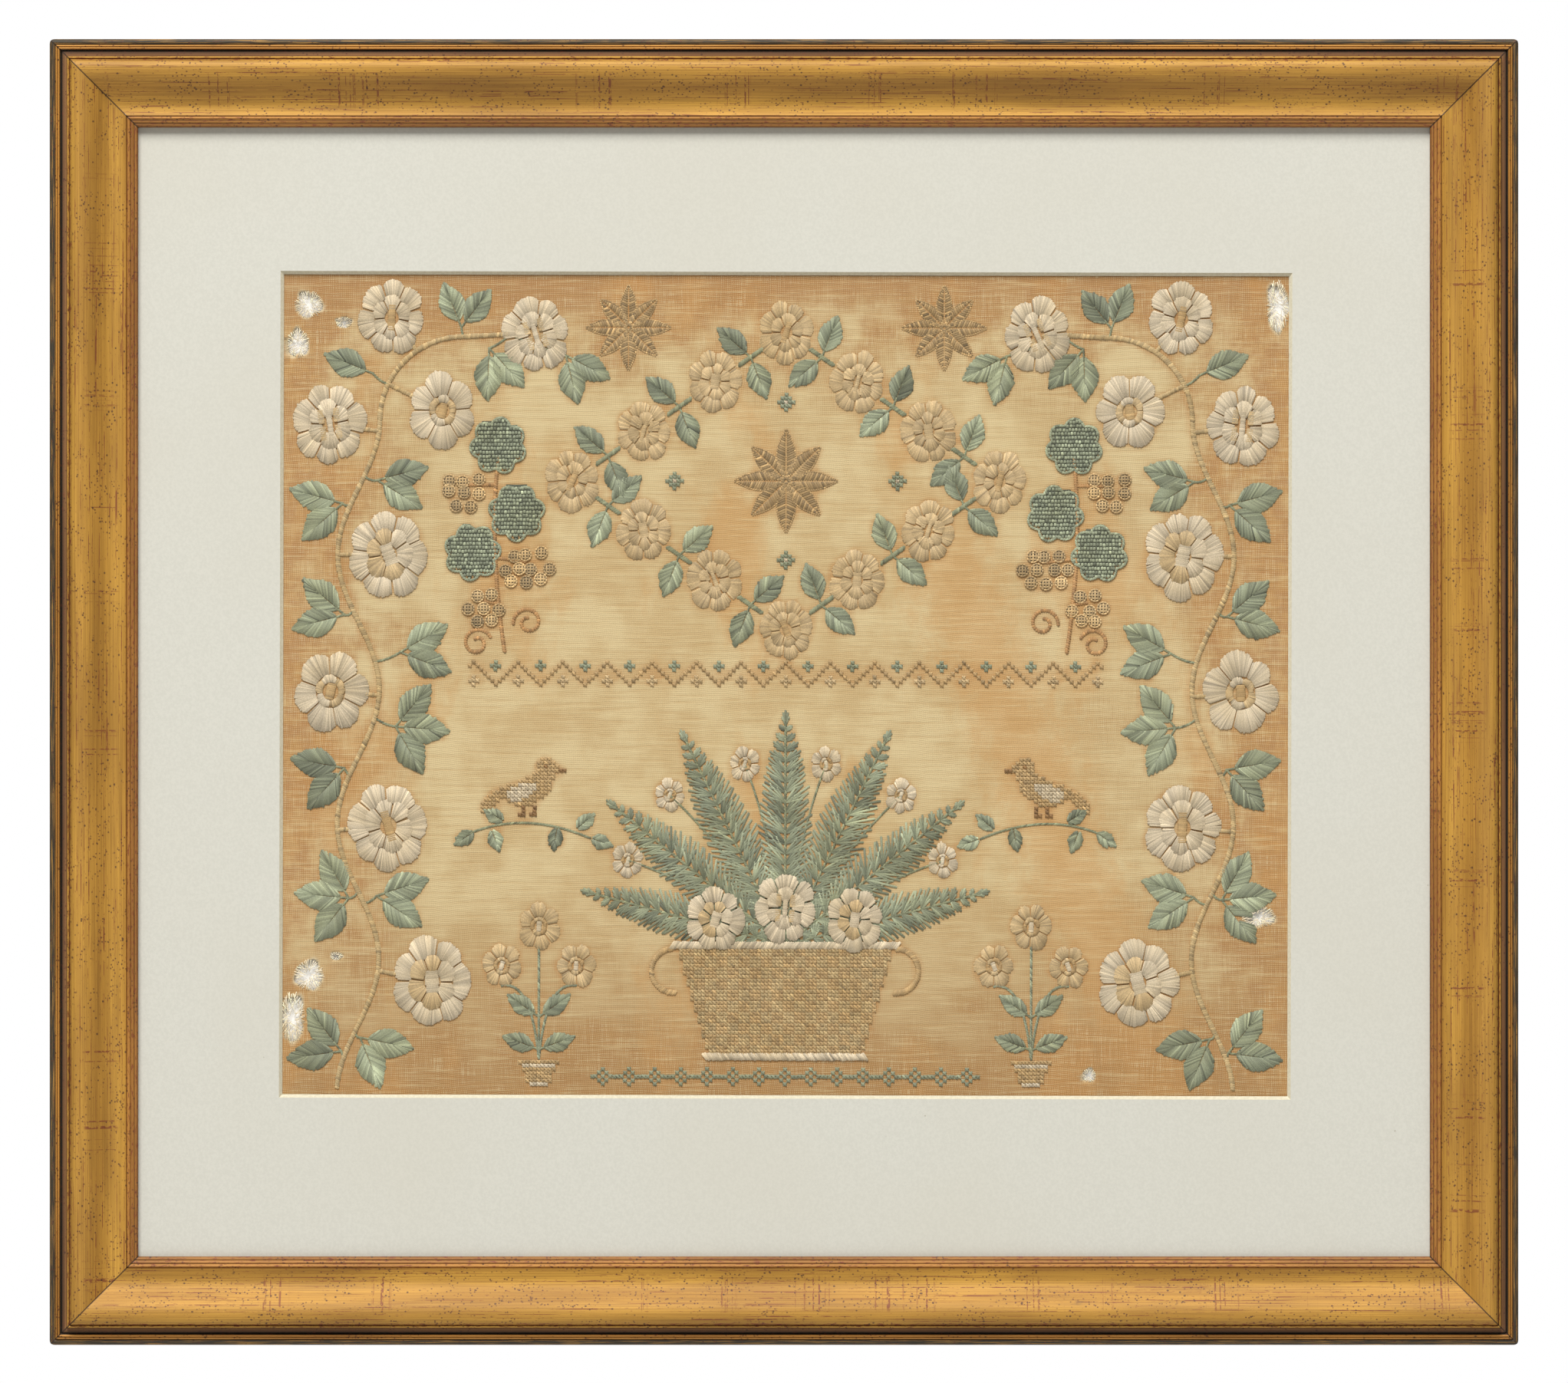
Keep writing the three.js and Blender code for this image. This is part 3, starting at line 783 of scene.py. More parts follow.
def sew_basket(stems, fronds, flowers, crosses):
    """A woven basket with feathered fronds, small blossoms and three roses."""
    rows = round((BASKET_RIM - BASKET_FOOT) / CROSS_PITCH)
    for row in range(rows):
        half = (BASKET_HALF + BASKET_FLARE * row / rows) / CROSS_PITCH
        for column in range(-30, 31):
            if abs(column) <= half:
                weave = (column // 3 + row // 3) % 2 == 0
                place_z = BASKET_FOOT + (row + 0.5) * CROSS_PITCH
                crosses.cross(column * CROSS_PITCH, place_z, TAN if weave else ROPE_TAN)
    root = np.array([0, BASKET_RIM + 2])
    for angle, reach in BLOSSOM_TWIGS:
        tip = root + direction(angle) * reach
        bend = root + direction(angle + (6 if angle < 90 else -6)) * reach * 0.6
        stems.line(curve(root, bend, tip), STEM_GREEN, width=0.8)
        flowers.rose(*tip, BLOSSOM_RADIUS, "single", CREAM, STRAW, PALE)
    for angle, length, width in FRONDS:
        fronds.frond(0, BASKET_RIM, angle, length, width, GREEN)
    flowers.rise = 0.6
    for x, z, radius in BASKET_ROSES:
        flowers.rose(x, z, radius, "hearted" if x else "quartered", CREAM, ROSE_TAN, TAN)
    flowers.rise = 0.0
    for z, half, lean in ((BASKET_RIM, RIM_HALF, 0.7), (BASKET_FOOT, FOOT_HALF, -0.7)):
        stems.rope([np.array([-half, z]), np.array([half, z])], 3.4, CREAM, height=0.75, slant=lean)
    for sign in (-1, 1):
        handle = spiral(HANDLE[0] * sign, HANDLE[1], 90, -sign * 0.52, HANDLE_RADIUS, HANDLE_RADIUS)
        stems.rope(handle, 2.4, TAN, slant=0.6)


def sew_bands(crosses):
    """A zigzag band with small diamonds, and a row of diamonds along the foot."""
    for column in range(-85, 86):
        from_valley = abs(column % ZIGZAG_PERIOD - ZIGZAG_PERIOD / 2)
        from_peak = ZIGZAG_PERIOD / 2 - from_valley
        crosses.cross(column * CROSS_PITCH, ZIGZAG_Z + from_valley * CROSS_PITCH, STRAW)
        for row in range(7):
            above = from_valley + abs(row - 5) <= 1
            below = from_peak + abs(row - 1) <= 1
            if above or below:
                colour = GREEN if above else ROSE_TAN
                crosses.cross(column * CROSS_PITCH, ZIGZAG_Z + row * CROSS_PITCH, colour)
    for column in range(-52, 53):
        centre = abs((column + 3) % 7 - 3)
        for row in range(-2, 3):
            if centre + abs(row) == 2 or (row == 0 and centre in (0, 3)):
                crosses.cross(column * CROSS_PITCH, FOOT_BAND_Z + row * CROSS_PITCH, GREEN)


def fray():
    """Pale broken threads at the torn places."""
    threads = Needlework("torn_threads")
    for x, z, width, height, _ in TEARS:
        count = int(6 + (width + height) * 1.9)
        for i in range(count):
            angle = 360 * (i + rng.uniform(-0.4, 0.4)) / count
            rim = np.array([x, z]) + direction(angle) * np.array([width, height]) / 2
            inward = (np.array([x, z]) - rim) * rng.uniform(0.25, 0.95)
            swing = np.array([-inward[1], inward[0]]) * rng.uniform(-0.5, 0.5)
            start = rim - inward * 0.25
            middle = rim + inward * 0.5 + swing * 0.5
            end = rim + inward + swing
            shade = varied(TORN_THREAD)
            threads.stitch(start, middle, 0.3, 0.24, shade, base=0.05)
            threads.stitch(middle - inward * 0.08, end, 0.26, 0.2, shade, base=0.05)
    return threads


# A stitch's section at either end of its straight run: shares of its width and height
THREAD_SECTION = ((-0.5, 0.5), (0.0, 1.0), (0.5, 0.5))
TIP_LENGTH = 0.35
SUNK = -0.12


def stitch_shape():
    """Faces of one stitch, and the places of their corners on the baking map."""
    quads, quad_places, triangles, triangle_places = [], [], [], []
    for a in range(4):
        b = (a + 1) % 4
        low, high = 0.04 + 0.23 * a, 0.27 + 0.23 * a
        quads.append([1 + a, 5 + a, 5 + b, 1 + b])
        quad_places += [(0.15, low), (0.85, low), (0.85, high), (0.15, high)]
        triangles += [[0, 1 + a, 1 + b], [5 + a, 9, 5 + b]]
        triangle_places += [(0, (low + high) / 2), (0.15, low), (0.15, high)]
        triangle_places += [(0.85, low), (1, (low + high) / 2), (0.85, high)]
    return (np.array(part) for part in (quads, quad_places, triangles, triangle_places))


def stitch_piece(work, material, torn_too=False):
    """One mesh of all the stitches of a piece, each a closed thread with sunk ends."""
    rows = np.array(work.rows)
    if not torn_too:
        rows = rows[tear_level(rows[:, [0, 2]].mean(1), rows[:, [1, 3]].mean(1)) > 0.05]
    count = len(rows)
    start, end = rows[:, 0:2], rows[:, 2:4]
    width, height, base = rows[:, 4], rows[:, 5], rows[:, 6]
    span = end - start
    along = span / np.hypot(span[:, 0], span[:, 1])[:, None]
    side = np.stack([-along[:, 1], along[:, 0]], axis=1)
    tip = np.clip(TIP_LENGTH / np.hypot(span[:, 0], span[:, 1]), 0.03, 0.22)
    places = np.zeros((count, 10, 2))
    heights = np.zeros((count, 10))
    places[:, 0], places[:, 9] = start, end
    heights[:, 0] = heights[:, 9] = base + SUNK
    for first, way in ((1, tip), (5, 1 - tip)):
        middle = start + span * way[:, None]
        for corner, (offset, high) in enumerate(THREAD_SECTION):
            places[:, first + corner] = middle + side * (width * offset)[:, None]
            heights[:, first + corner] = base + height * high
        places[:, first + 3] = middle
        heights[:, first + 3] = base + SUNK
    points = on_cloth(places[..., 0], places[..., 1], heights)
    quads, quad_places, triangles, triangle_places = stitch_shape()
    first = 10 * np.arange(count)[:, None, None]
    faces = (quads + first).reshape(-1, 4).tolist() + (triangles + first).reshape(-1, 3).tolist()
    piece = mesh_piece(work.name, points.reshape(-1, 3), faces)
    colour_attribute(piece, "tint", np.repeat(rows[:, 7:10], 10, axis=0))
    cells = math.ceil(math.sqrt(count))
    corner_of = np.stack([np.arange(count) % cells, np.arange(count) // cells], axis=1)[:, None, :]
    mapped = [(corner_of + 0.05 + 0.9 * part[None]) / cells for part in (quad_places, triangle_places)]
    corner_map(piece, np.concatenate([part.reshape(-1, 2) for part in mapped]))
    piece.data.materials.append(material)
    piece.data.set_sharp_from_angle(angle=math.radians(85))
    return piece


def halo_stain_and_shade_field(works):
    """How much stitching is near each place on the cloth, on a grid of 1 mm. It sets the brown halo round
    the stitches, partly stain and partly painted shade.
    """
    wide, high = int(CUT_WIDTH), int(CUT_HEIGHT)
    field = np.zeros((high, wide))
    for work in works:
        rows = np.array(work.rows)
        for way in np.linspace(0, 1, 7):
            x = rows[:, 0] + (rows[:, 2] - rows[:, 0]) * way + wide / 2
            z = rows[:, 1] + (rows[:, 3] - rows[:, 1]) * way + high / 2
            field[np.clip(z.astype(int), 0, high - 1), np.clip(x.astype(int), 0, wide - 1)] = 1
    reach = np.arange(-9, 10)
    kernel = np.exp(-((reach / HALO_SPREAD) ** 2) / 2)
    kernel /= kernel.sum()
    for axis in (0, 1):
        field = np.apply_along_axis(np.convolve, axis, field, kernel, "same")
    return field


def grid_lines(half, window, fine_spans):
    """Places of the mesh's lines one way across the cloth: fine near tears, coarse under the mat."""
    places = [-half]
    while places[-1] < half:
        here = places[-1]
        fine = any(low - 1 < here < high + 1 for low, high in fine_spans)
        usual = WINDOW_STEP if abs(here) < window + 2 else HIDDEN_STEP
        places.append(here + (TORN_STEP if fine else usual))
    places[-1] = half
    return np.array(places)


def cloth_piece(works, material):
    """The gauze: a thin closed sheet with ragged holes where it is torn."""
    torn_x = [(x - w * TEAR_MARGIN, x + w * TEAR_MARGIN) for x, _, w, _, _ in TEARS]
    torn_z = [(z - h * TEAR_MARGIN, z + h * TEAR_MARGIN) for _, z, _, h, _ in TEARS]
    columns = grid_lines(CUT_WIDTH / 2, HALF_WIDTH, torn_x)
    lines = grid_lines(CUT_HEIGHT / 2, HALF_HEIGHT, torn_z)
    x, z = np.meshgrid(columns, lines)
    kept = tear_level((x[:-1, :-1] + x[1:, 1:]) / 2, (z[:-1, :-1] + z[1:, 1:]) / 2) > 0
    used = np.zeros(x.shape, int)
    for down in (0, 1):
        for right in (0, 1):
            used[down : down + kept.shape[0], right : right + kept.shape[1]] += kept
    rim = (used > 0) & (used < 4)
    rim[0, :] = rim[-1, :] = rim[:, 0] = rim[:, -1] = False
    level = tear_level(x, z)
    shift = 0.05
    slope_x = (tear_level(x + shift, z) - tear_level(x - shift, z)) / (2 * shift)
    slope_z = (tear_level(x, z + shift) - tear_level(x, z - shift)) / (2 * shift)
    steep = np.maximum(slope_x**2 + slope_z**2, 1e-4)
    ragged = level + rng.normal(0, 0.03, level.shape)
    x = np.where(rim, x - np.clip(ragged * slope_x / steep, -RIM_SHIFT, RIM_SHIFT), x)
    z = np.where(rim, z - np.clip(ragged * slope_z / steep, -RIM_SHIFT, RIM_SHIFT), z)
    number = np.full(x.shape, -1)
    number[used > 0] = np.arange((used > 0).sum())
    flat_x, flat_z = x[used > 0], z[used > 0]
    front = on_cloth(flat_x, flat_z, 0)
    back = on_cloth(flat_x, flat_z, -CLOTH_THICKNESS)
    cells = [number[:-1, :-1], number[:-1, 1:], number[1:, 1:], number[1:, :-1]]
    faces = np.stack([cell[kept] for cell in cells], axis=1)
    total = len(front)
    edges = np.concatenate([faces[:, [i, (i + 1) % 4]] for i in range(4)])
    known = {(a, b) for a, b in edges.tolist()}
    open_edges = np.array([(a, b) for a, b in known if (b, a) not in known])
    first, second = open_edges[:, 0], open_edges[:, 1]
    walls = np.stack([second, first, first + total, second + total], axis=1)
    quads = np.concatenate([faces, faces[:, ::-1] + total, walls])
    piece = mesh_piece("gauze_cloth", np.concatenate([front, back]), quads.tolist())
    field = halo_stain_and_shade_field(works)
    across = np.clip((flat_x + CUT_WIDTH / 2).astype(int), 0, field.shape[1] - 1)
    up = np.clip((flat_z + CUT_HEIGHT / 2).astype(int), 0, field.shape[0] - 1)
    torn = np.exp(-np.clip(tear_level(flat_x, flat_z), 0, 9) / TORN_FADE)
    # The halo is the brown tint round the stitches: partly a stain, partly painted shade.
    number_attribute(piece, "halo_stain_and_shade", np.tile(field[up, across], 2))
    number_attribute(piece, "torn", np.tile(torn, 2))
    flat = np.stack([flat_x / CUT_WIDTH + 0.5, (flat_z / CUT_WIDTH) + 0.5], axis=1)
    both = np.concatenate([flat * [0.98, 0.98] + 0.01, flat * 0.1])
    corner_map(piece, both[quads.ravel()])
    piece.data.materials.append(material)
    return piece


def section_points():
    """The moulding's outline from the back's outer edge round the front to the rebate."""
    points = [(BACK_SETBACK, 0.0)]
    for row in SECTION:
        last = points[-1]
        if len(row) == 2:
            steps = max(1, round(math.hypot(row[0] - last[0], row[1] - last[1]) / 1.6))
            points += [
                (last[0] + (row[0] - last[0]) * i / steps, last[1] + (row[1] - last[1]) * i / steps)
                for i in range(1, steps + 1)
            ]
        else:
            bend_s, bend_h, s, h = row
            for t in np.linspace(0, 1, 8)[1:]:
                points.append((
                    last[0] * (1 - t) ** 2 + bend_s * 2 * t * (1 - t) + s * t * t,
                    last[1] * (1 - t) ** 2 + bend_h * 2 * t * (1 - t) + h * t * t,
                ))
    points += [(RAIL_WIDTH, REBATE_DEPTH), (REBATE_WALL, REBATE_DEPTH), (REBATE_WALL, 0.0)]
    return np.array(points)


def rail_piece(name, span, across, turn, streak_start, gilt, bare_wood):
    """One moulding length with mitred ends and a softly rounded outer corner."""
    outline = section_points()
    near = np.array(END_RINGS)
    half_span = span / 2 - MITRE_SETBACK
    middle = np.linspace(END_LENGTH - half_span, half_span - END_LENGTH, round(span / RING_STEP))
    places = np.concatenate([near - half_span, middle, half_span - near[::-1]])
    share = places / half_span
    s, h = outline[:, 0], outline[:, 1]
    x = -share[:, None] * (half_span - s[None, :])
    z = np.broadcast_to(across / 2 - s[None, :], x.shape).copy()
    depth = np.broadcast_to(-h[None, :], x.shape)
    corner_x, corner_z = np.abs(x) - (span / 2 - CORNER_RADIUS), z - (across / 2 - CORNER_RADIUS)
    out = np.hypot(corner_x, corner_z)
    beyond = (corner_x > 0) & (corner_z > 0) & (out > CORNER_RADIUS)
    pull = np.where(beyond, CORNER_RADIUS / np.maximum(out, 1e-6), 1)
    x = np.sign(x) * (span / 2 - CORNER_RADIUS + corner_x * pull)
    z = across / 2 - CORNER_RADIUS + corner_z * pull
    angle = math.radians(turn)
    world_x = x * math.cos(angle) + z * math.sin(angle)
    world_z = z * math.cos(angle) - x * math.sin(angle) + FRAME_MIDDLE_Z
    to_mitre = ((1 - np.abs(share))[:, None] * (half_span - s[None, :])).ravel()
    points = np.stack([world_x, depth, world_z], axis=-1).reshape(-1, 3) * MM
    rings, around = x.shape
    ring, spot = np.meshgrid(np.arange(rings - 1), np.arange(around), indexing="ij")
    following = (spot + 1) % around
    first = ring * around + spot
    second = ring * around + following
    quads = np.stack([first, second, second + around, first + around], axis=-1).reshape(-1, 4)
    mitres = [list(range(around))[::-1], [(rings - 1) * around + i for i in range(around)]]
    piece = mesh_piece(name, points, quads.tolist() + mitres)
    mesh = piece.data
    number_attribute(piece, "across", np.tile(s, rings))
    number_attribute(piece, "along", x.ravel() + streak_start)
    number_attribute(piece, "mitre", to_mitre)
    length_round = np.concatenate([[0], np.cumsum(np.hypot(np.diff(s), np.diff(h)))])
    whole = length_round[-1] + BACK_EDGE
    strip_wide = span / 2
    size = max(strip_wide, 2 * whole) * 1.01
    mapped = []
    for r, k in zip(ring.ravel(), spot.ravel()):
        strip = 0 if r < (rings - 1) // 2 else 1
        shift = places[0] if strip == 0 else places[(rings - 1) // 2]
        ends = (length_round[k], length_round[k + 1] if k + 1 < around else whole)
        for ring_step, end in ((0, 0), (0, 1), (1, 1), (1, 0)):
            mapped.append(((places[r + ring_step] - shift) / size, (strip * whole + ends[end]) / size))
    mapped += [MITRE_PLACE] * (2 * around)
    corner_map(piece, np.array(mapped))
    mesh.materials.append(gilt)
    mesh.materials.append(bare_wood)
    centres = np.zeros(len(mesh.polygons) * 3)
    mesh.polygons.foreach_get("center", centres)
    slots = (centres.reshape(-1, 3)[:, 1] > -(REBATE_DEPTH - 0.2) * MM).astype(np.int32)
    mesh.polygons.foreach_set("material_index", slots)
    mesh.set_sharp_from_angle(angle=math.radians(32))
    return piece


class Paint:
    """A material's nodes, built with short calls that take sockets or plain values."""

    def __init__(self, name, roughness, **shader_values):
        self.material = bpy.data.materials.new(name)
        self.material.use_nodes = True
        self.tree = self.material.node_tree
        self.shader = self.tree.nodes["Principled BSDF"]
        self.shader.inputs["Roughness"].default_value = roughness
        for label, value in shader_values.items():
            self.shader.inputs[label.replace("_", " ")].default_value = value

    def put(self, value, socket):
        if isinstance(value, bpy.types.NodeSocket):
            self.tree.links.new(value, socket)
        elif socket.type == "RGBA" and len(value) == 3:
            socket.default_value = (*value, 1)
        else:
            socket.default_value = value

    def node(self, kind, inputs, output=0, **settings):
        """One output of a new node, whose inputs are given by number or by label."""
        made = self.tree.nodes.new(kind)
        for label, value in settings.items():
            setattr(made, label, value)
        for label, value in inputs.items():
            self.put(value, made.inputs[label])
        return made.outputs[output]

    def math(self, operation, *values):
        return self.node("ShaderNodeMath", dict(enumerate(values)), operation=operation)

    def times(self, first, second):
        return self.math("MULTIPLY", first, second)

    def moved(self, value, pattern, amount):
        """The value moved to and fro by a noise."""
        return self.math("MULTIPLY_ADD", self.math("SUBTRACT", pattern, 0.5), amount, value)

    def mix(self, factor, first, second, blend="MIX"):
        settings = {"data_type": "RGBA", "blend_type": blend, "clamp_factor": True}
        return self.node("ShaderNodeMix", {0: factor, 6: first, 7: second}, 2, **settings)

    def over(self, base, colour, factor):
        """The base with a share of an sRGB colour over it."""
        return self.mix(factor, base, linear(colour))

    def between(self, pattern, low, high, first, second):
        """One of two sRGB colours, or their mixture, as a noise says."""
        return self.mix(self.span(pattern, low, high), linear(first), linear(second))

    def span(self, *values):
        """A value carried smoothly from low..high to 0..1, or to the two numbers that follow."""
        settings = {"interpolation_type": "SMOOTHSTEP", "clamp": True}
        return self.node("ShaderNodeMapRange", dict(enumerate(values)), **settings)

    def attribute(self, name, output="Fac"):
        return self.node("ShaderNodeAttribute", {}, output, attribute_name=name)

    def place(self, vector, scale, offset):
        return self.node("ShaderNodeMapping", {"Vector": vector, "Scale": scale, "Location": offset})

    def noise(self, vector, scale=1.0, offset=(0, 0, 0), detail=2, roughness=0.5, distortion=0.0):
        """Noise at one scale, or at a scale for each axis."""
        if isinstance(scale, tuple):
            vector, scale = self.place(vector, scale, offset), 1.0
        inputs = {"Vector": vector, "Scale": scale, "Detail": detail, "Roughness": roughness}
        return self.node("ShaderNodeTexNoise", {**inputs, "Distortion": distortion})

    def spots(self, vector, scale):
        return self.node("ShaderNodeTexVoronoi", {"Vector": vector, "Scale": scale}, "Distance")

    def object_places(self):
        return self.node("ShaderNodeTexCoord", {}, "Object")

    def combine(self, x, y, z):
        return self.node("ShaderNodeCombineXYZ", {0: x, 1: y, 2: z})

    def separate(self, vector):
        return self.node("ShaderNodeSeparateXYZ", {0: vector}).node.outputs

    def colour(self, socket):
        self.put(socket, self.shader.inputs["Base Color"])

    def bump(self, height, strength, distance):
        inputs = {"Height": height, "Strength": strength, "Distance": distance}
        self.put(self.node("ShaderNodeBump", inputs), self.shader.inputs["Normal"])

    def bands(self, value, stops):
        """A colour ramp from (place, colour) rows, places from 0 to 1."""
        output = self.node("ShaderNodeValToRGB", {0: value})
        elements = output.node.color_ramp.elements
        while len(elements) < len(stops):
            elements.new(0.5)
        for element, (place, _) in zip(elements, stops):
            element.position = place
        for element, (_, colour) in zip(elements, stops):
            element.color = (*linear(colour), 1)
        return output


def thread_material():
    """Silk thread: the stitch's own tint, with fine strands painted lighter and darker as painted glints
    and shade, and a soft sheen.
    """
    paint = Paint("embroidery_thread", 0.7, Sheen_Weight=0.12, Sheen_Roughness=0.4)
    places = paint.object_places()
    strands = paint.noise(places, scale=2600)
    age = paint.noise(places, scale=70, detail=3)
    tint = paint.attribute("tint", "Color")
    # Painted glints and shade: a fine noise makes the strands lighter and darker, standing in for light
    # catching the twisted silk.
    strand_glint_and_shade = paint.mix(paint.span(strands, 0.3, 0.7), (0.84, 0.83, 0.8), (1.1, 1.1, 1.08))
    aged = paint.mix(paint.span(age, 0.35, 0.7), (1, 1, 1), (0.9, 0.87, 0.8))
    paint.colour(paint.mix(1.0, paint.mix(1.0, tint, strand_glint_and_shade, "MULTIPLY"), aged, "MULTIPLY"))
    paint.bump(strands, 0.35, 0.0002)
    return paint.material


def gauze_material():
    """Old open-weave cotton: threads and slubs, pale in the middle, browned at the edges."""
    paint = Paint("aged_gauze", 0.92, Sheen_Weight=0.15, Sheen_Roughness=0.6)
    places = paint.place(paint.object_places(), (1000, 1000, 1000), (-WINDOW_X, 0, -WINDOW_Z))
    x, _, z = paint.separate(places)
    drift = paint.noise(places, 0.045, detail=3)
    fine_drift = paint.noise(places, 0.16, detail=4, roughness=0.6)
    sideways = paint.math("DIVIDE", paint.math("ABSOLUTE", x), HALF_WIDTH)
    upwards = paint.math("DIVIDE", paint.math("ABSOLUTE", z), HALF_HEIGHT)
    outwards = paint.math("MAXIMUM", sideways, upwards)
    wobble = paint.moved(outwards, drift, 0.5)
    wobble = paint.moved(wobble, fine_drift, 0.24)
    pale = paint.between(drift, 0.36, 0.62, (203, 181, 134), (191, 164, 115))
    brown = paint.between(fine_drift, 0.35, 0.65, (181, 132, 69), (164, 112, 56))
    stained = paint.mix(paint.span(wobble, 0.74, 1.0, 0, 0.85), pale, brown)
    low = paint.span(paint.math("MULTIPLY_ADD", drift, -30, z), -80, -200, 0, 0.85)
    stained = paint.over(stained, (157, 116, 64), low)
    top = paint.span(paint.math("MULTIPLY_ADD", drift, 26, z), 158, 190, 0, 0.75)
    stained = paint.over(stained, (159, 114, 64), top)
    beside = paint.math("MULTIPLY_ADD", z, RUN_SLANT, paint.math("SUBTRACT", x, RUN_X))
    beside = paint.moved(beside, fine_drift, RUN_STRAY)
    run_down = paint.span(paint.math("ABSOLUTE", beside), RUN_HALF_WIDTH, 4)
    run_down = paint.times(run_down, paint.span(z, 100, 50))
    blotch = paint.noise(places, (0.021, 0.021, 0.012), (3, 0, 8), detail=5, roughness=0.6)
    spill = paint.math("MAXIMUM", run_down, paint.span(blotch, 0.52, 0.66))
    stained = paint.over(stained, (188, 134, 67), paint.times(spill, 0.5))
    # Painted shade with a stain: the cloth is browned close round the stitches, partly as a stain and
    # partly as the shade that the raised stitches cast.
    halo_stain_and_shade = paint.attribute("halo_stain_and_shade")
    overlay_level = paint.times(paint.span(halo_stain_and_shade, 0.12, 0.75), paint.span(fine_drift, 0.3, 0.7, 0.45, 1.0))
    stained = paint.over(stained, (171, 121, 64), paint.times(overlay_level, 0.75))
    bend_x = paint.noise(paint.combine(0.0, 3.0, paint.times(z, 0.05)))
    bend_z = paint.noise(paint.combine(paint.times(x, 0.05), 7.0, 0.0))
    turn = 2 * math.pi / THREAD_STEP
    warp = paint.math("SINE", paint.times(paint.math("MULTIPLY_ADD", bend_x, 5, x), turn))
    weft = paint.math("SINE", paint.times(paint.math("MULTIPLY_ADD", bend_z, 5, z), turn))
    slub_x = paint.noise(places, (0.07, 1, 2.4))
    slub_z = paint.noise(places, (2.4, 1, 0.07))
    threads = paint.math("ADD", warp, weft)
    openness = paint.span(paint.math("ADD", wobble, paint.times(drift, 0.4)), 0.75, 1.2, 0.3, 1.0)
    slubs = paint.times(paint.math("SUBTRACT", paint.math("ADD", slub_x, slub_z), 1.0), openness)
    dark = paint.times(paint.span(threads, -0.2, -2.0), openness)
    woven = paint.over(stained, (143, 103, 57), paint.times(dark, 0.6))
    light = paint.times(paint.times(paint.span(threads, 0.4, 2.0), openness), 0.3)
    woven = paint.over(woven, (217, 205, 169), light)
    woven = paint.over(woven, (210, 192, 150), paint.span(slubs, 0.02, 0.3, 0, 0.45))
    woven = paint.over(woven, (159, 125, 77), paint.span(slubs, -0.02, -0.3, 0, 0.5))
    creases = paint.noise(places, (0.035, 1, 0.7), (7, 0, 3), detail=4, roughness=0.65)
    # Painted shade and painted highlight: the creases' hollows, which the bump below sinks, are painted
    # darker and their ridges lighter.
    woven = paint.over(woven, (170, 132, 78), paint.span(creases, 0.5, 0.68, 0, 0.28))
    woven = paint.over(woven, (212, 192, 144), paint.span(creases, 0.5, 0.32, 0, 0.3))
    torn = paint.attribute("torn")
    paint.colour(paint.over(woven, (208, 194, 158), paint.span(torn, 0.45, 1.0, 0, 0.7)))
    relief = paint.math("ADD", threads, paint.times(slubs, 2))
    paint.bump(paint.math("MULTIPLY_ADD", creases, -9, relief), 0.3, 0.0001)
    return paint.material


# The gilding from the outer edge inwards: mm across the rail, and colour
GILT_BANDS = [
    (0.0, (96, 74, 40)),
    (0.5, (62, 54, 38)),
    (2.3, (52, 45, 34)),
    (2.6, (120, 84, 38)),
    (2.9, (196, 142, 64)),
    (3.4, (186, 130, 56)),
    (3.6, (72, 46, 24)),
    (3.85, (196, 142, 64)),
    (4.5, (180, 126, 54)),
    (4.75, (54, 46, 36)),
    (5.5, (52, 44, 34)),
    (5.8, (84, 56, 28)),
    (7.3, (140, 98, 58)),
    (7.55, (70, 44, 24)),
    (7.75, (204, 158, 68)),
    (8.6, (200, 152, 64)),
    (8.85, (104, 58, 30)),
    (9.1, (172, 126, 49)),
    (10.2, (186, 140, 56)),
    (21.0, (179, 132, 51)),
    (30.0, (190, 144, 56)),
    (33.0, (186, 138, 53)),
    (33.2, (104, 62, 28)),
    (33.5, (178, 124, 54)),
    (34.9, (180, 126, 54)),
    (35.05, (88, 56, 26)),
    (35.3, (164, 112, 48)),
    (36.4, (168, 116, 50)),
    (36.6, (92, 60, 30)),
    (36.9, (166, 114, 48)),
    (38.0, (140, 94, 42)),
]


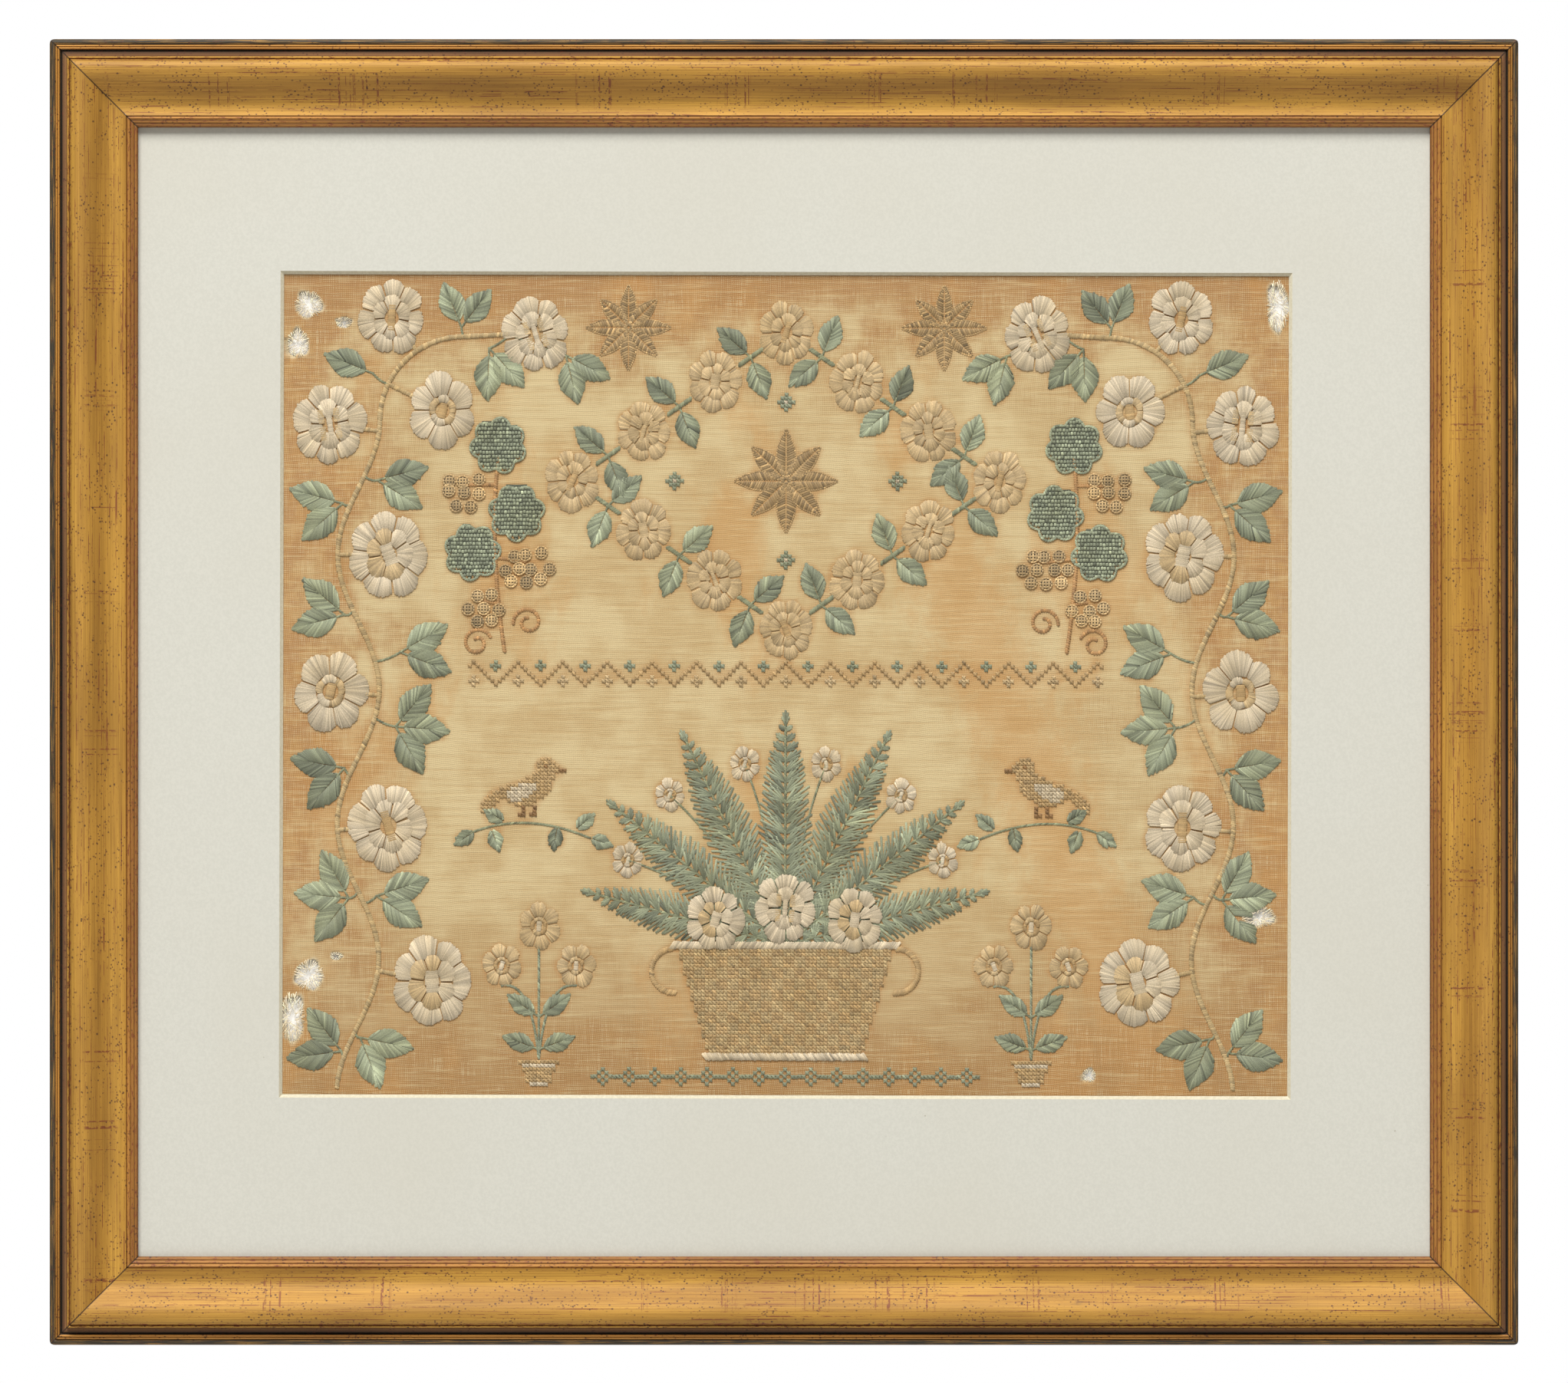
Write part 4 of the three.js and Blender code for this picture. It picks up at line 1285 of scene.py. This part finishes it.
def gilt_material():
    """Rubbed gilding over red clay: streaks along the rail, dark specks, scratches and cracks."""
    paint = Paint("rubbed_gilding", 0.62, Metallic=0.14)
    across = paint.attribute("across")
    along = paint.attribute("along")
    flat = paint.combine(along, across, 0.0)
    share = paint.math("DIVIDE", across, RAIL_WIDTH)
    gold = paint.bands(share, [(place / RAIL_WIDTH, colour) for place, colour in GILT_BANDS])
    streaks = paint.noise(flat, (0.014, 1.7, 1), detail=4, roughness=0.65)
    broad = paint.noise(flat, (0.012, 0.08, 1), (3, 5, 0), detail=3)
    tones = ((streaks, (0.78, 0.74, 0.66), (1.12, 1.12, 1.1)), (broad, (0.8, 0.76, 0.7), (1.1, 1.1, 1.08)))
    for pattern, dark, bright in tones:
        gold = paint.mix(1.0, gold, paint.mix(paint.span(pattern, 0.3, 0.7), dark, bright), "MULTIPLY")
    outer = paint.span(across, 2.6, 2.3)
    gleam = paint.noise(flat, (0.05, 3.2, 1), (5, 5, 0), detail=3, roughness=0.6)
    gold = paint.over(gold, (158, 118, 54), paint.times(paint.span(gleam, 0.51, 0.62), outer))
    body = paint.times(paint.span(across, HOLLOW_START, 9.4), paint.span(across, HOLLOW_END, 32.8))
    inner = paint.span(across, 33.0, 33.6)
    mottle = paint.noise(flat, (0.3, 1.3, 1), (9, 2, 0), detail=5, roughness=0.7)
    gold = paint.over(gold, RED_CLAY, paint.times(paint.span(mottle, 0.53, 0.6, 0, 0.72), inner))
    # Red clay shows through where the gilding is rubbed along the hollow's outer edge.
    arris = paint.math("ABSOLUTE", paint.math("SUBTRACT", across, HOLLOW_START))
    overlay_level = paint.math("MULTIPLY_ADD", paint.span(arris, 1.6, 0.2), 0.12, mottle)
    gold = paint.over(gold, RED_CLAY, paint.span(overlay_level, 0.6, 0.68, 0, 0.8))
    lines = paint.noise(flat, (0.012, 1.5, 1), (2, 9, 0))
    broken = paint.noise(flat, (0.09, 0.4, 1), (6, 1, 0), detail=4, roughness=0.7)
    scratch = paint.times(paint.span(lines, 0.615, 0.635), paint.span(broken, 0.44, 0.54))
    cluster = paint.noise(flat, (0.03, 0.0, 1), (1, 8, 0))
    columns = paint.noise(flat, (0.5, 0.0, 1), (4, 1, 0), detail=3, roughness=0.6)
    torn = paint.noise(flat, (0.7, 0.45, 1), (3, 4, 0), detail=3, roughness=0.6)
    on_slope = paint.times(paint.span(across, 14, 17), paint.span(across, 31, 27))
    crack = paint.times(paint.span(columns, 0.53, 0.58), paint.span(cluster, 0.52, 0.58))
    crack = paint.times(paint.times(crack, paint.span(torn, 0.44, 0.52)), on_slope)
    marks = paint.math("MAXIMUM", paint.times(scratch, body), crack)
    gold = paint.over(gold, RED_CLAY, paint.times(marks, 0.8))
    for scale, size, seed, tint in ((0.4, 0.2, 2, (72, 42, 28)), (0.75, 0.3, 7, (88, 48, 30))):
        specks = paint.spots(paint.place(flat, (scale * 0.8, scale, 1), (seed, 6, 0)), 1.0)
        pick = paint.noise(flat, (0.06, 0.12, 1), (seed, 3, 0), detail=4)
        speck = paint.times(paint.span(specks, size, size * 0.6), paint.span(pick, 0.46, 0.54))
        gold = paint.over(gold, tint, paint.times(speck, 0.8))
    smudge = paint.noise(flat, (0.05, 0.2, 1), (8, 8, 0), detail=4, roughness=0.6)
    gold = paint.over(gold, (70, 52, 40), paint.span(smudge, 0.68, 0.78, 0, 0.55))
    seam = paint.span(paint.attribute("mitre"), 0.5, 0.2)
    paint.colour(paint.over(gold, (46, 28, 16), paint.times(seam, 0.85)))
    height = paint.math("SUBTRACT", streaks, paint.times(marks, 0.6))
    paint.bump(height, 0.22, 0.0003)
    return paint.material


def bare_wood_material():
    """The unpainted back of the moulding: softwood, grain along the rail."""
    paint = Paint("bare_pine", 0.75)
    flat = paint.combine(paint.attribute("along"), paint.attribute("across"), 0.0)
    grain = paint.noise(flat, (0.012, 0.9, 1), detail=4, roughness=0.6, distortion=0.6)
    shade = paint.between(grain, 0.3, 0.7, (188, 148, 98), (150, 108, 64))
    paint.colour(shade)
    paint.bump(grain, 0.3, 0.0003)
    return paint.material


def mat_material():
    """Off-white mat card with faint fibres; the cut bevel shows its cream core."""
    paint = Paint("mat_card_paper", 0.95)
    places = paint.object_places()
    fibres = paint.noise(places, scale=900, detail=4, roughness=0.65)
    cloud = paint.noise(places, scale=9, detail=3)
    face = paint.between(fibres, 0.35, 0.65, (202, 200, 188), (208, 206, 194))
    face = paint.over(face, (202, 197, 181), paint.span(cloud, 0.35, 0.7, 0, 0.3))
    specks = paint.spots(places, 95)
    pick = paint.noise(places, scale=21, detail=1)
    speck = paint.times(paint.span(specks, 0.045, 0.02), paint.span(pick, 0.62, 0.68, 0, 0.6))
    face = paint.over(face, (150, 140, 116), speck)
    normal = paint.separate(paint.node("ShaderNodeNewGeometry", {}, "Normal"))
    bevel = paint.span(normal[1], -0.95, -0.85)
    core = paint.between(fibres, 0.35, 0.65, (200, 192, 166), (212, 205, 180))
    paint.colour(paint.mix(bevel, face, core))
    paint.bump(fibres, 0.08, 0.0001)
    return paint.material


def board_material():
    """White mounting card, a little foxed."""
    paint = Paint("mount_card_paper", 0.95)
    places = paint.object_places()
    fibres = paint.noise(places, scale=700, detail=3)
    foxing = paint.noise(places, scale=26, detail=5, roughness=0.7)
    face = paint.between(fibres, 0.35, 0.65, (244, 241, 234), (250, 248, 243))
    paint.colour(paint.over(face, (206, 184, 144), paint.span(foxing, 0.62, 0.75, 0, 0.4)))
    paint.bump(fibres, 0.15, 0.0001)
    return paint.material


def repaint(node, material):
    """A new material on a CAD node that stays."""
    slots = node.data.materials
    for i in range(len(slots)):
        slots[i] = material


def light(name, place, target, size, power):
    lamp = bpy.data.lights.new(name, "AREA")
    lamp.shape = "RECTANGLE"
    lamp.size, lamp.size_y = size
    lamp.energy = power
    made = bpy.data.objects.new(name, lamp)
    made.location = place
    made.rotation_euler = (Vector(target) - Vector(place)).to_track_quat("-Z", "Y").to_euler()
    bpy.context.scene.collection.objects.link(made)


def set_stage():
    """Camera, lights, white surroundings and the pale floor below."""
    scene = bpy.context.scene
    camera_data = bpy.data.cameras.new("camera")
    camera_data.sensor_width = SENSOR_WIDTH
    camera_data.lens = SENSOR_WIDTH * CAMERA_DISTANCE / PICTURE_WIDTH
    camera_data.clip_end = 50
    camera = bpy.data.objects.new("camera", camera_data)
    camera.location = CAMERA_PLACE
    camera.rotation_euler = (math.pi / 2, 0, 0)
    scene.collection.objects.link(camera)
    scene.camera = camera
    scene.view_settings.view_transform = "Standard"
    world = bpy.data.worlds.new("white_room")
    scene.world = world
    world.use_nodes = True
    nodes, links = world.node_tree.nodes, world.node_tree.links
    nodes.clear()
    path = nodes.new("ShaderNodeLightPath")
    room = nodes.new("ShaderNodeBackground")
    room.inputs["Color"].default_value = (1, 0.99, 0.97, 1)
    room.inputs["Strength"].default_value = WORLD_LIGHT
    seen = nodes.new("ShaderNodeBackground")
    seen.inputs["Color"].default_value = (1, 1, 1, 1)
    mixed = nodes.new("ShaderNodeMixShader")
    output = nodes.new("ShaderNodeOutputWorld")
    links.new(path.outputs["Is Camera Ray"], mixed.inputs[0])
    links.new(room.outputs[0], mixed.inputs[1])
    links.new(seen.outputs[0], mixed.inputs[2])
    links.new(mixed.outputs[0], output.inputs[0])
    middle = (0, 0, FRAME_MIDDLE_Z * MM)
    light("key_light", (-0.7, -3.35, FRAME_MIDDLE_Z * MM + 4.92), middle, (3.0, 2.8), KEY_POWER)
    light("front_light", (0.4, -3.2, FRAME_MIDDLE_Z * MM + 0.5), middle, (2.0, 2.0), FILL_POWER)
    corners = [(x * FLOOR_REACH, y * FLOOR_REACH, FLOOR_Z) for x, y in ((-1, -1), (1, -1), (1, 1), (-1, 1))]
    floor = mesh_piece("floor", corners, [[0, 1, 2, 3]])
    paint = Paint("pale_floor", 0.9)
    grain = paint.noise(paint.object_places(), scale=40, detail=3)
    paint.colour(paint.mix(grain, (0.78, 0.77, 0.75), (0.84, 0.83, 0.81)))
    floor.data.materials.append(paint.material)


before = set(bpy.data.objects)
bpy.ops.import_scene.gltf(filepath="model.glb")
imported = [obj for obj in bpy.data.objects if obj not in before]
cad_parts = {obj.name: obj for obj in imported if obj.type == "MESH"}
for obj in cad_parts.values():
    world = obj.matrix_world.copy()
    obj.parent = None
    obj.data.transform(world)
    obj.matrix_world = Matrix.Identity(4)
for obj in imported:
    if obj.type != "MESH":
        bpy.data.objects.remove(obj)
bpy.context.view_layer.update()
set_stage()

gilt = gilt_material()
bare_wood = bare_wood_material()
for cad_name, span, across, turn, streak_start in RAILS:
    rail = rail_piece("gilt_" + cad_name, span, across, turn, streak_start, gilt, bare_wood)
    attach(rail, "root")
    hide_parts(cad_name)
repaint(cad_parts["mat"], mat_material())
repaint(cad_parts["mount_board"], board_material())

works = sew()
thread = thread_material()
cloth = cloth_piece(works, gauze_material())
stitched = [stitch_piece(work, thread) for work in works]
stitched.append(stitch_piece(fray(), thread, torn_too=True))
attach(cloth, "root")
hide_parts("cloth")
for piece in stitched:
    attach(piece, "root")
